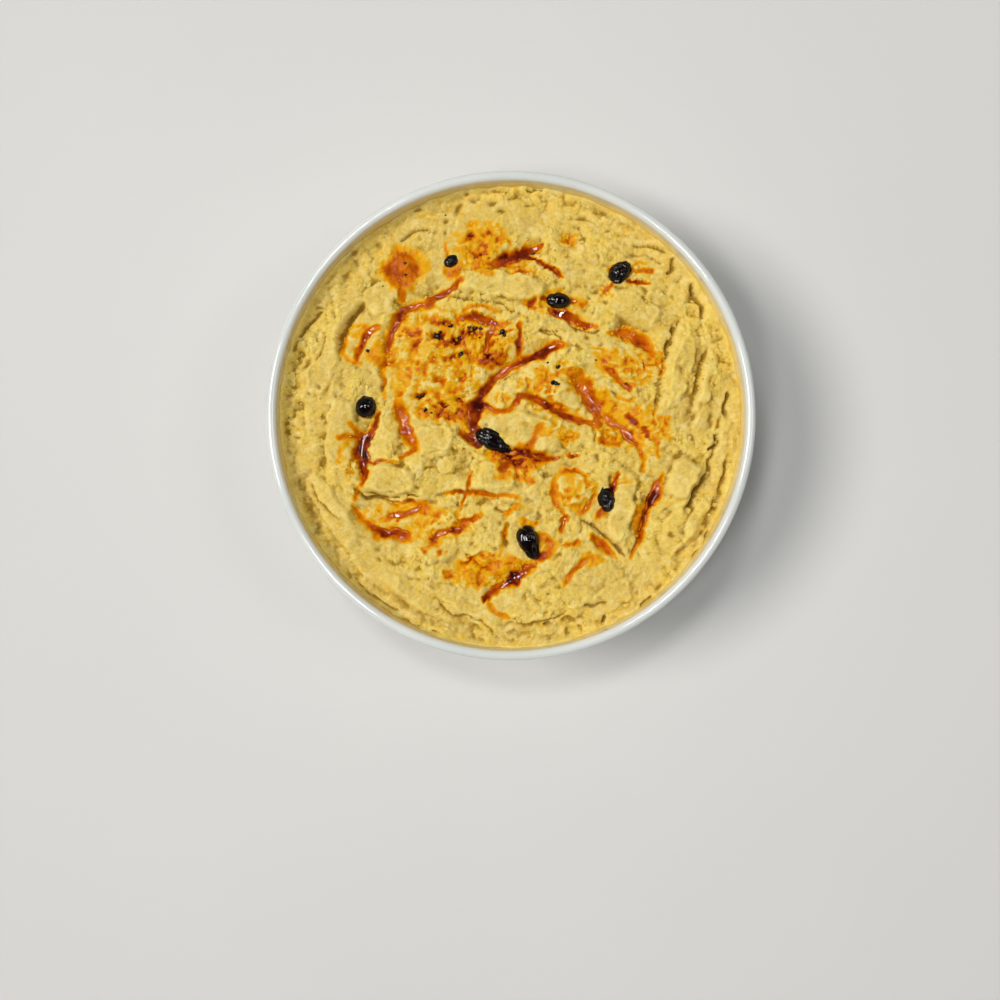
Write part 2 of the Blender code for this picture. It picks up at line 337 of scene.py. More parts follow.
def bowlOutline():  # floor, inner wall, round lip, outer wall, foot ring and recess, as radius and height
    lipTurn = np.linspace(math.pi, 0, 26)[1:-1]
    half = bowlShape["wall"] / 2
    lip = np.stack([bowlShape["rim"] - half + half * np.cos(lipTurn), lipHeight + half * np.sin(lipTurn)], 1)
    pick = np.unique(np.linspace(0, 399, 60).round().astype(int))
    foot, width, recess = bowlShape["foot"], bowlShape["footWidth"], bowlShape["recess"]
    round1 = np.linspace(0, math.pi / 2, 6)
    outerEdge = np.stack([foot - 0.8 + 0.8 * np.cos(round1), 0.8 - 0.8 * np.sin(round1)], 1)
    innerEdge = np.stack([foot - width + 0.8 - 0.8 * np.sin(round1), 0.8 - 0.8 * np.cos(round1)], 1)
    under = [(foot - width - 0.2, recess - 0.6), (foot - width - 0.8, recess), (0.5, recess)]
    inside = innerWall()[pick][::-1]
    return np.vstack([[0.5, inside[0, 1]], inside, lip, outerWall(400)[pick], outerEdge, innerEdge, under])


def turnOutline(outline, steps):  # each outline point carried once round the axis, with a fan at each end
    angle = np.linspace(0, 2 * math.pi, steps, endpoint=False)
    rows = len(outline)
    ring = np.stack(
        [
            outline[:, :1] * np.cos(angle),
            outline[:, :1] * np.sin(angle),
            np.repeat(outline[:, 1:], steps, 1),
        ],
        2,
    ).reshape(-1, 3)
    i, j = np.meshgrid(np.arange(rows - 1), np.arange(steps), indexing="ij")
    a, b = i * steps + j, i * steps + (j + 1) % steps
    quads = np.stack([a, b, b + steps, a + steps], 2).reshape(-1, 4)
    ends = np.array([[0, 0, outline[0, 1]], [0, 0, outline[-1, 1]]])
    first, last = len(ring), len(ring) + 1
    k = np.arange(steps)
    top = np.stack([np.full(steps, first), (k + 1) % steps, k], 1)[:, ::-1]
    final = (rows - 1) * steps
    bottom = np.stack([np.full(steps, last), final + k, final + (k + 1) % steps], 1)[:, ::-1]
    return np.vstack([ring, ends]), quads, np.vstack([top, bottom])


def glazeMaterial():  # white glaze, with a smear of paste inside and a bare foot
    r = Recipe("white porcelain")
    place = r.place()
    split = r.nodes.new("ShaderNodeSeparateXYZ")
    r.put(split.inputs[0], place)
    x, y, z = split.outputs
    radius = r.maths("SQRT", r.maths("ADD", r.maths("MULTIPLY", x, x), r.maths("MULTIPLY", y, y)))
    tint = r.mix(r.span(r.noise(0.03, 2), 0.35, 0.65), colour("d9dcd6"), colour("e2e3dd"))
    inside = r.span(radius, *bowlShape["insideRadius"])
    # a smear of paste on the wall, thinning out towards the lip
    height = r.span(z, pasteHigh.z - 0.0005, bowlHigh.z - 0.0010, 1.0, 0.0)
    patchy = r.span(r.noise(0.012, 4, 0.6, stretch=(1, 1, 2.5)), 0.3, 0.62, 0.55, 1.25)
    inside = r.maths("MULTIPLY", inside, r.span(z, *bowlShape["smearLow"]))
    smear = r.maths("MULTIPLY", r.maths("MULTIPLY", height, patchy), inside)
    shade = r.mix(smear, tint, colour("efce5e"))
    bare = r.maths("MULTIPLY", r.span(z, 0.0009, 0.0005), r.span(radius, 0.034, 0.036))
    shade = r.mix(bare, shade, r.mix(r.noise(0.0012, 4), colour("cfc5b3"), colour("e0d8c8")))
    gloss = r.maths("ADD", r.span(r.noise(0.004, 3), 0.3, 0.7, 0.08, 0.13), r.maths("MULTIPLY", bare, 0.6))
    gloss = r.maths("ADD", gloss, r.maths("MULTIPLY", smear, 0.3))
    ripple = r.bump(r.noise(0.02, 2, 0.4), 0.0003, 0.12)
    normal = r.bump(r.maths("MULTIPLY", smear, r.noise(0.0015, 3)), 0.0003, 0.5, ripple)
    return r.finish(
        Base_Color=shade, Roughness=gloss, Normal=normal, IOR=1.5, Coat_Weight=0.4, Coat_Roughness=0.04
    )


bowlPoints, bowlQuads, bowlFans = turnOutline(bowlOutline(), bowlShape["roundSteps"])
bowl = newPiece("fine_bowl", bowlPoints, [bowlQuads, bowlFans], glazeMaterial())
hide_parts("bowl")


paste = {
    "level": 53.1,  # mm above the table, before the relief
    "cells": 296,  # grid cells across the top
    "clumps": 1.15,  # height of the broad lumps
    "curd": 0.58,  # height of the coarse lumps
    "grain": 0.26,  # height of the finer lumps
    "sand": 0.13,  # height of the finest unevenness
    "swell": 0.75,  # height of the soft unevenness
    "tears": 0.4,  # depth of the thin cracks between lumps
    "ragged": 0.75,  # how far strokes wander sideways
    "foldRise": 0.9,
    "slabRise": 1.4,
    "crackDepth": 2.2,
    "crackWidth": 0.72,
    "edgeBlend": 7.0,
    "edgeRise": 3.0,  # how far the paste climbs the wall, in mm
    "edgeReach": 1.5,
    "skirt": (50.0, 45.0, 36.0, 26.0, 17.0, 11.0),  # heights of the rings down the wall, in mm
    "nearBlur": 12,  # rounds of averaging for the dips beside each lump
    "nearDip": 0.75,  # mm of depth that counts as a full dip
    "wideBlur": 60,
    "wideDip": 3.2,
    "lowSide": 15.0,  # degrees round from +X where it climbs least
    "colour": "e3bf52",  # torn paste
    "pressed": "d5b255",  # where the spoon slid
    # pale tone for the grain, and also the painted highlight on raised lumps
    "light": "f8df80",
    "cream": "ecd488",
    # painted shade laid in the dips
    "deep": "8f6600",
    "yellow": "dfb022",
}

# torn plates: size, seed, how much of the top they leave bare, rise, softness of the edge
plateLayers = [
    (15, 201, 0.0, 0.65, 0.1), (9, 211, 0.1, 0.5, 0.14),
    (5.5, 221, 0.15, 0.32, 0.22), (3.6, 231, 0.2, 0.28, 0.3),
]

# steps that are high on the left of their path: start, end, bow to the left, rise, reach
folds = [
    ((-60, 20), (-48, 42), 4.0, 1.7, 9),
    ((-71, -16), (-55, -40), -3.5, 1.1, 10),
    ((-77, -20), (-55, -57), -5.0, 1.0, 8),
    ((-56, -56), (-15, -78), -4.5, 1.1, 7),
    ((-47, -53), (-24, -71), -4.0, 0.9, 9),
    ((-28, -59), (-2, -78), -2.5, 1.0, 8),
    ((-7, -69), (34, -62), -6.5, 0.9, 7),
    ((-55, -25), (-24, -28), -3.3, 2.1, 9),
    ((-24, -28), (6, -33), 3.5, 1.4, 8),
    ((61, 36), (52, 0), -2.5, 1.8, 9),
    ((71, 27), (63, -8), -1.5, 1.6, 7),
    ((59, -36), (69, -16), -1.0, 2.1, 9),
    ((75, -24), (48, -57), 2.2, -1.6, 8),
    ((14, 75), (56, 54), 4.0, -0.6, 9),
]

# spoon grooves: start, end, bow to the left, depth, half width
grooves = [
    ((-13, 2), (20, 27), 5.4, 2.0, 3.4),
    ((-43, 20), (-20, 46), 8.0, 1.7, 3.2),
    ((-6, 55), (13, 61), 0.0, 1.9, 3.6),
    ((20, 17), (47, -13), -1.0, 2.0, 4.0),
    ((2, 9), (36, -4), 0.0, 1.3, 3.0),
    ((-46, 6), (-51, -24), -4.4, 2.0, 3.4),
    ((-41, 6), (-33, -12), 0.0, 1.7, 3.6),
    ((-56, -30), (-34, -44), -3.0, 1.7, 3.4),
    ((35, 33), (52, 20), 2.6, 1.9, 4.2),
    ((54, -18), (44, -46), 0.0, 1.6, 3.0),
    ((28, -41), (39, -51), 0.0, 1.5, 3.4),
    ((-10, -65), (10, -53), 1.6, 1.6, 3.2),
]

# broad swells and hollows: x, y, radius, height
swells = [
    (-4, 2, 34, -1.2), (-62, 8, 15, 1.0), (-8, 72, 16, 0.8), (21, 63, 5, -2.0), (60, 12, 16, 0.9),
    (-58, -34, 12, 0.8), (20, -56, 16, 0.9), (8, -2, 9, 1.2), (-30, 14, 10, 1.0), (-16, -16, 6, -1.6),
    (4, 44, 9, 1.2), (61, -24, 7, 1.0),
]

# slabs that stand proud, with steep edges: x, y, length, width, turn in degrees, rise
slabs = [
    (39, -32, 26, 8.5, 82, 1.3), (60, -21.5, 14, 9, 62, 1.5), (65.5, -36, 15, 6, 62, 1.3),
    (-60, -7, 26, 10, 84, 0.9), (-3, 46.5, 31, 9, -8, 1.3), (5, -5, 26, 12, -14, 1.1),
    (-5, -20.5, 13, 10, 0, 1.0), (-43.5, -5, 16, 8, 84, 0.8), (-27, -7.5, 13, 9, 0, 0.9),
    (-43, -22, 18, 9, -4, 1.2), (43, 38, 19, 10, -28, 1.1), (21.5, -23.5, 9, 9, 0, 1.0),
    (63, -47, 20, 9, 50, 0.9), (36, -63, 14, 8, 30, 0.9), (68, 12, 16, 6, 74, 0.9),
    (60, 17, 22, 6.5, 76, 0.8), (-63, -33, 30, 8, -58, 0.6), (-48, -52, 26, 9, -46, 0.6),
    (-30, -64, 26, 8, -30, 0.6), (-66, 18, 20, 8, 72, 0.7), (-46, 42, 12, 10, 50, 0.7),
    (20, 8, 12, 8, -30, 0.8), (-12, 12, 9, 6, 40, 0.8), (2, 12, 8, 6, 30, 0.7), (36, 22, 9, 7, -20, 0.7),
]

# cracks where two spoonfuls meet: path, half width, depth, how much the left side stands proud
cracks = [
    ([(-51, 41), (-55, 36), (-58, 31.5), (-60, 27), (-60, 22)], 1.1, 2.2, 0.9),
    ([(-45, 8), (-45, 11), (-46, 17), (-42, 20), (-40, 21)], 0.7, 1.5, 0.3),
    ([(60, 35), (57, 29), (55, 24), (54, 18), (52, 13)], 0.8, 1.8, 0.8),
    ([(52, 8), (51, 3), (50.5, 0)], 0.6, 1.2, 0.4),
    ([(70, 25), (67.5, 19), (66, 15), (65, 11), (64, 3)], 0.6, 1.5, 0.7),
    ([(77, 9), (75, 4), (75.5, 0.5)], 0.8, 1.5, 0.3),
    ([(73, -5), (72, -9), (68, -12)], 0.7, 1.6, 0.3),
    ([(76, -15), (75, -20), (74, -24), (73, -28)], 0.7, 1.1, 0.4),
    ([(68, -20), (64, -28), (61, -33)], 0.9, 1.8, -0.9),
    ([(70, -39), (67, -46), (63, -51)], 0.6, 1.2, 0.5),
    ([(42, 61), (49, 60), (55, 57.5)], 0.6, 0.8, 0.3),
    ([(57, 56), (57, 52), (55, 50.5)], 0.6, 1.2, 0.2),
    ([(10, 31.5), (17, 30.5)], 0.6, 1.3, 0.3),
    ([(-55, -23), (-52, -27.5), (-46, -29), (-42, -30), (-36, -30), (-31, -31)], 0.8, 1.8, 0.7),
    ([(-7, -31), (-3, -33), (2, -34.5)], 0.6, 1.3, 0.4),
    ([(-50, -15.5), (-43, -16), (-36, -17)], 0.5, 1.0, 0.2),
    ([(29, -2), (29.5, -7), (30, -10)], 0.5, 1.0, 0.3),
    ([(22, -17.5), (28, -21)], 0.5, 1.2, 0.2),
    ([(47, -16), (47, -20)], 0.6, 1.0, 0.2),
    ([(-1, -37), (-2, -41), (-3, -46)], 0.6, 1.3, 0.4),
    ([(-23, 43.5), (-14, 41)], 0.4, 0.7, 0.2),
    ([(0, -70), (5, -72.5), (10, -72), (14, -71), (20, -69)], 0.7, 0.8, 0.6),
    ([(12, -74), (14, -72)], 0.6, 1.3, 0.2),
    ([(25, -67), (28, -66), (34, -65.5)], 0.7, 1.0, 0.5),
    ([(33, -70), (32, -73)], 0.6, 1.3, 0.2),
    ([(45, -67), (50, -63)], 0.7, 0.9, 0.3),
    ([(-70, -22), (-68, -27), (-64, -33), (-59, -37)], 0.6, 0.35, 0.5),
    ([(-55, -56), (-50, -62), (-44, -66), (-38, -69)], 0.7, 0.45, 0.6),
    ([(-41, -69), (-36, -72), (-30, -74), (-22, -77)], 0.6, 0.4, 0.4),
    ([(-26, -62), (-24, -67), (-20, -70), (-14, -70), (-8, -74), (-3, -79)], 0.7, 0.7, 0.6),
    ([(5, 80), (12, 79.3)], 0.5, 1.2, 0.2),
    ([(-7, -54), (-12, -52), (-16, -48)], 0.5, 0.9, 0.3),
    ([(34, 10), (40, 7), (45, 6)], 0.5, 0.9, 0.3),
    ([(2, 31), (-4, 29), (-10, 30)], 0.5, 1.0, 0.3),
    ([(-74, 27), (-70, 33), (-66, 38)], 0.6, 1.2, 0.4),
    ([(-69, 19), (-66, 25), (-65, 30)], 0.5, 1.0, 0.3),
    ([(-40, 62), (-33, 66), (-27, 66)], 0.5, 1.0, 0.3),
    ([(63, 48), (66, 41), (68, 34)], 0.6, 1.3, 0.5),
    ([(24, -36), (27, -38), (31, -38)], 0.5, 0.9, 0.2),
    ([(-30, 42), (-20, 42.5), (-11, 41.5), (-2, 39), (6, 34)], 0.5, 0.7, 0.4),
    ([(19, 34.5), (25, 31), (32, 29.5)], 0.6, 1.2, 0.4),
    ([(9, 31), (16, 29), (19, 26)], 0.6, 1.2, 0.3),
    ([(28, -37), (33, -42), (39, -48.5), (41, -50)], 0.6, 1.2, -0.4),
    ([(35.5, -20), (35, -30), (34, -36)], 0.6, 1.1, -0.3),
    ([(-52, -26), (-44, -28.5), (-38, -28), (-31, -28)], 0.7, 1.6, 0.6),
    ([(-27, -28), (-22, -26.5), (-15, -26), (-8, -27), (-2, -28.5)], 0.5, 1.1, 0.4),
    ([(-19, -4.5), (-15, -7.5), (-12, -9.5)], 1.1, 1.8, 0.0),
    ([(-3.5, -40), (-2, -44), (-2.5, -47)], 0.8, 1.2, 0.2),
    ([(-19, -52), (-14, -50), (-8, -47.5)], 0.6, 1.1, 0.3),
    ([(36, 64), (44, 63), (50, 60)], 0.5, 0.3, 0.2),
    ([(41, 58), (48, 56.5), (54, 53)], 0.5, 0.35, 0.2),
    ([(18, 70), (27, 69), (36, 66)], 0.5, 0.3, 0.2),
    ([(74, 2), (72.5, -6), (70.5, -14), (68, -22)], 0.7, 1.0, 0.4),
    ([(-44, 33), (-44.5, 22), (-45, 12), (-44.5, 6)], 0.5, 1.0, 0.3),
    ([(51.5, -25), (48, -34), (45, -43), (41.5, -50)], 0.6, 1.3, 0.3),
]

# pits: x, y, length, width, turn in degrees, depth
pits = [
    (-66.5, -15, 7, 3, 80, 1.4), (-74, 4, 4, 4, 0, 1.6), (-75, 11, 3, 2, 0, 1.2), (-68, 11, 3, 2, 90, 1.2),
    (-62, 37, 5, 2, 90, 1.1), (-46.5, 60, 3, 3, 0, 1.0), (-33, 72.5, 3, 1.6, 0, 1.2),
    (-23, 69, 2, 1.4, 40, 1.0), (-22.5, 64.5, 2, 1.4, 90, 1.0), (-28, 65, 3, 1.4, 20, 1.0),
    (-55, 58, 2, 2, 0, 1.0), (-19, 73, 4, 1.6, 60, 1.2), (-15.5, 78.3, 2, 2, 0, 1.2),
    (-13, 76, 3, 1.4, 0, 1.0), (-6, 75, 4, 1.6, 10, 1.3), (-3, 72.5, 3, 1.6, 0, 1.2),
    (-29, -18, 3, 2, 30, 1.0), (64, 43, 3, 3, 0, 1.4), (21, 63, 3, 3, 0, 1.4), (25, 63, 3, 1.6, 0, 1.2),
    (27, 28, 2.5, 2, 0, 1.2), (34, 65, 3, 1.6, 20, 1.1), (75.5, 1, 3, 3, 0, 1.8),
    (52, -60, 4, 2.5, 45, 1.3), (21, -71, 3, 2, 20, 1.2), (31, -64, 3, 2, 0, 1.2), (16, -49, 3, 2, 40, 1.0),
    (62, -31, 4, 3, 60, 1.5), (-72, 18, 4, 2, 60, 1.2), (-76, 24, 3, 1.6, 70, 1.0),
    (-70, 42, 3, 1.6, 50, 1.0), (-58, 50, 4, 1.6, 50, 1.0), (-14, 68, 3, 2, 0, 1.0),
    (6, 74, 3, 1.4, 0, 1.0), (44, 68, 3, 1.6, -30, 1.0), (70, 12, 4, 1.6, 80, 1.1), (70, -2, 5, 2, 70, 1.3),
    (64, 0, 4, 1.6, 60, 1.0), (56, -42, 3, 2, 30, 1.0), (38, -58, 3, 2, 0, 1.0),
    (-27, 28.5, 4, 2.6, 30, 1.6), (-22, 33, 5, 2, 10, 1.4), (-19, 27, 4, 3, -20, 1.6),
    (-12.5, 30, 5, 2.4, 0, 1.6), (-7, 26, 3, 5, 10, 1.4), (-14, 21, 3.4, 4, 0, 1.4),
    (-23, 20.5, 5, 2.4, 20, 1.5), (-30, 16, 4, 2.6, 60, 1.4), (-34, 24, 3, 4, 0, 1.3),
    (-31.5, 8, 5, 2.4, 10, 1.4), (-26, 4, 4, 2.4, -10, 1.3), (-20, 9.5, 4, 2.4, 30, 1.3),
    (-17, 14, 3, 3, 0, 1.3), (-37, 31, 3, 3, 0, 1.2), (-25, 12.5, 3.4, 2.2, -30, 1.2),
    (-10, 60, 4, 2.4, 20, 1.1), (-14, 63.5, 3.4, 2.4, 0, 1.1), (-8, 64, 3, 2, 40, 1.0),
    (-66, 0, 5, 1.6, 80, 1.0), (-48, 48, 3, 2, 10, 0.9), (-38, 47, 2.5, 1.6, 0, 0.8),
    (12, -60, 3, 1.6, 20, 1.0), (-26, -51, 3, 1.6, 20, 0.9), (-46, -50, 3, 1.4, -30, 0.8),
    (-10, 3, 3, 1.6, 60, 0.8), (48, 40, 3, 1.6, -40, 0.9), (30, 44, 3, 1.6, 10, 0.9),
    (-4, 62, 4, 1.4, 10, 0.9), (40, -35, 3, 1.6, 20, 0.9), (12, -21, 3, 1.6, 0, 0.9),
]

# places where the spoon left the top smooth: x, y, length, width, turn in degrees, strength
smoothPlaces = [
    (-58, -42, 44, 16, -52, 1.1), (-41, -61, 38, 13, -35, 1.0), (-20, -71, 30, 10, -15, 0.8),
    (-44, -7, 14, 10, 84, 0.7), (60, -22, 12, 14, 60, 0.9), (53, -50, 28, 7, 50, 0.85),
    (-17, -14, 6, 6, 0, 0.8), (-40, -60, 18, 6, -35, 0.7), (-63, -36, 30, 8, -58, 0.8),
    (-57, 26, 5, 9, 80, 0.9), (-60, -8, 16, 12, 80, 0.5), (-44, -10, 8, 10, 80, 0.7),
    (-36, 68, 34, 14, 25, 0.85), (0, 69, 44, 14, 0, 0.8), (44, 60, 34, 14, -32, 0.8),
    (-6, 46, 26, 9, -6, 0.85), (36, -36, 14, 24, 0, 0.8), (20, 8, 10, 8, -40, 0.5),
    (42, -28, 10, 10, 0, 0.6), (64, 20, 22, 6, 70, 0.5), (-22, -40, 14, 8, 0, 0.4),
    (26, 51, 20, 14, 0, 0.7), (-48, -52, 18, 8, -40, 0.7), (60, 42, 10, 8, 60, 0.5),
    (-30, -8, 12, 10, 0, 0.5), (56, 30, 12, 5, 65, 0.6), (10, -36, 10, 6, 0, 0.4), (-46, 50, 14, 8, 0, 0.4),
]


def turned(x, y, cx, cy, degrees):  # offsets from a centre, turned into its own length and width
    turn = math.radians(degrees)
    dx, dy = x - cx, y - cy
    return dx * math.cos(turn) + dy * math.sin(turn), dy * math.cos(turn) - dx * math.sin(turn)


def slabReach(x, y, cx, cy, length, width, turn):  # 1 on the edge of a rounded box, less inside it
    along, across = turned(x, y, cx, cy, turn)
    return (np.abs(2 * along / length) ** 3 + np.abs(2 * across / width) ** 3) ** (1 / 3)


def formHeight(x, y):  # the broad forms: folds, grooves and swells added up, dying away at the wall
    height = np.zeros_like(x)
    for start, end, bow, rise, reach in folds:
        near, signed, share = alongPath(x, y, bowedPath(start, end, bow), 4 * reach)
        edge = np.tanh(signed / 1.1)
        fall = np.exp(-np.abs(signed) / reach)
        height[near] += paste["foldRise"] * rise * edge * fall * fadeEnds(share, 0.22)
    for start, end, bow, depth, half in grooves:
        near, signed, share = alongPath(x, y, bowedPath(start, end, bow), 3 * half)
        height[near] -= depth * np.exp(-((signed / half) ** 2)) * fadeEnds(share, 0.22)
    for cx, cy, length, width, turn, rise in slabs:
        reach = slabReach(x, y, cx, cy, length, width, turn)
        height += paste["slabRise"] * rise * ease((1.12 - reach) / 0.26)
    for cx, cy, radius, swell in swells:
        height += swell * np.exp(-((np.hypot(x - cx, y - cy) / radius) ** 2))
    fromWall = ease((wallRadius(paste["level"]) - np.hypot(x, y)) / paste["edgeBlend"])
    return height * (0.35 + 0.65 * fromWall)


def crackHeight(x, y):  # narrow V cuts, with one side standing a little proud, and oval pits
    height = np.zeros_like(x)
    for points, half, depth, proud in cracks:
        near, signed, share = alongPath(x, y, points, 7)
        fade = fadeEnds(share, 0.18)
        cut = np.exp(-((np.abs(signed) / (paste["crackWidth"] * half)) ** 1.15))
        height[near] -= paste["crackDepth"] * depth * cut * fade
        lip = np.where(signed > 0, 1.0, -0.35) * np.exp(-np.abs(signed) / 2.6)
        height[near] += proud * lip * fade
    for cx, cy, length, width, turn, depth in pits:
        along, across = turned(x, y, cx, cy, turn)
        height -= depth * np.exp(-((2 * along / length) ** 2 + (2 * across / width) ** 2))
    return height


def smoothness(x, y):  # 1 where the spoon slid, 0 where the paste is torn
    amount = np.zeros_like(x)
    for cx, cy, length, width, turn, strength in smoothPlaces:
        along, across = turned(x, y, cx, cy, turn)
        inside = np.exp(-(((2 * along / length) ** 2 + (2 * across / width) ** 2) ** 1.5))
        amount = np.maximum(amount, strength * inside)
    for cx, cy, length, width, turn, rise in slabs:
        amount = np.maximum(amount, 0.6 * ease((1.05 - slabReach(x, y, cx, cy, length, width, turn)) / 0.3))
    return np.clip(amount + 0.25 * layeredNoise(x, y, 14, 40, 2), 0, 1)


def tornPlates(x, y, outer):  # flat plates whose edges follow levels of craggy noise, in layers
    height = np.zeros_like(x)
    for size, seed, level, rise, edge in plateLayers:
        crag = (1 - outer) * layeredNoise(x, y, size, seed, 4, 0.52)
        crag += outer * ringLayers(x, y, size * 1.4, size * 0.75, seed + 40, 4, 0.52)
        above = (crag - level) / edge
        height += rise * (ease(above + 0.5) + 0.35 * np.exp(-((above - 0.9) ** 2)))
    return height


def curdHeight(x, y, smooth):  # torn plates, three sizes of lumps, thin tears and fine grain
    outer = ease((np.hypot(x, y) - 30) / 20)
    wx = x + 0.8 * softNoise(x, y, 3, 51) + 0.35 * softNoise(x, y, 1.2, 52)
    wy = y + 0.8 * softNoise(x, y, 3, 53) + 0.35 * softNoise(x, y, 1.2, 54)
    middle = 0.7 * np.exp(-(((x + 20) / 20) ** 2 + ((y - 20) / 19) ** 2) ** 2)
    patches = 0.95 * ease(0.45 + 2.2 * layeredNoise(x, y, 11, 60, 4, 0.55))
    rough = np.clip((1 - smooth) * (0.14 + middle + patches), 0, 1.2)
    height = tornPlates(wx, wy, outer) * (1 - 0.75 * smooth) * (1 - 0.35 * outer)
    height += paste["clumps"] * (lumps(wx, wy, 6.5, 66) - 0.6) * (0.3 + 0.7 * rough)
    height += paste["curd"] * (lumps(wx, wy, 2.7, 70) - 0.6) * (0.2 + 0.8 * rough)
    height += paste["grain"] * (lumps(wx, wy, 1.45, 74) - 0.6) * (0.5 + 0.5 * rough)
    tear = np.abs(layeredNoise(wx, wy, 8, 95, 3, 0.55))
    tear += 0.12 * ease(0.5 - 1.5 * layeredNoise(x, y, 12, 98, 2))
    height -= paste["tears"] * np.exp(-((tear / 0.09) ** 2)) * np.clip(rough + 0.2, 0, 1)
    height += paste["sand"] * softNoise(x, y, 0.8, 80)
    height += paste["swell"] * layeredNoise(x, y, 9, 90, 3)
    return height, rough


oil = {
    "spacing": 0.25,  # mm between the film's points
    "under": 0.35,  # mm that the film reaches down into the paste
    "wetFrom": 0.68,  # the stain's strength from which oil stands on the paste
    "deepest": 0.9,  # mm of oil at the most
    "core": 1.06,  # the dark middle's strength and reach, as shares of a streak's own
    "halo": 0.22,  # the faint bleed's strength, and its reach in half widths
    "haloReach": 2.0,
    "grooveReach": 1.3,  # in half widths
    "pool": 0.52,  # how far the film lies down in the groove, as a share of its depth
    "poolReach": 1.5,
}

# the oil's colours as it gets deeper: strength and colour
oilColours = [
    (0.0, "e9b41c"), (0.18, "e5a600"), (0.36, "de8a00"), (0.52, "cd6800"), (0.66, "ad4600"),
    (0.82, "7a2403"), (1.0, "3c0903"),
]

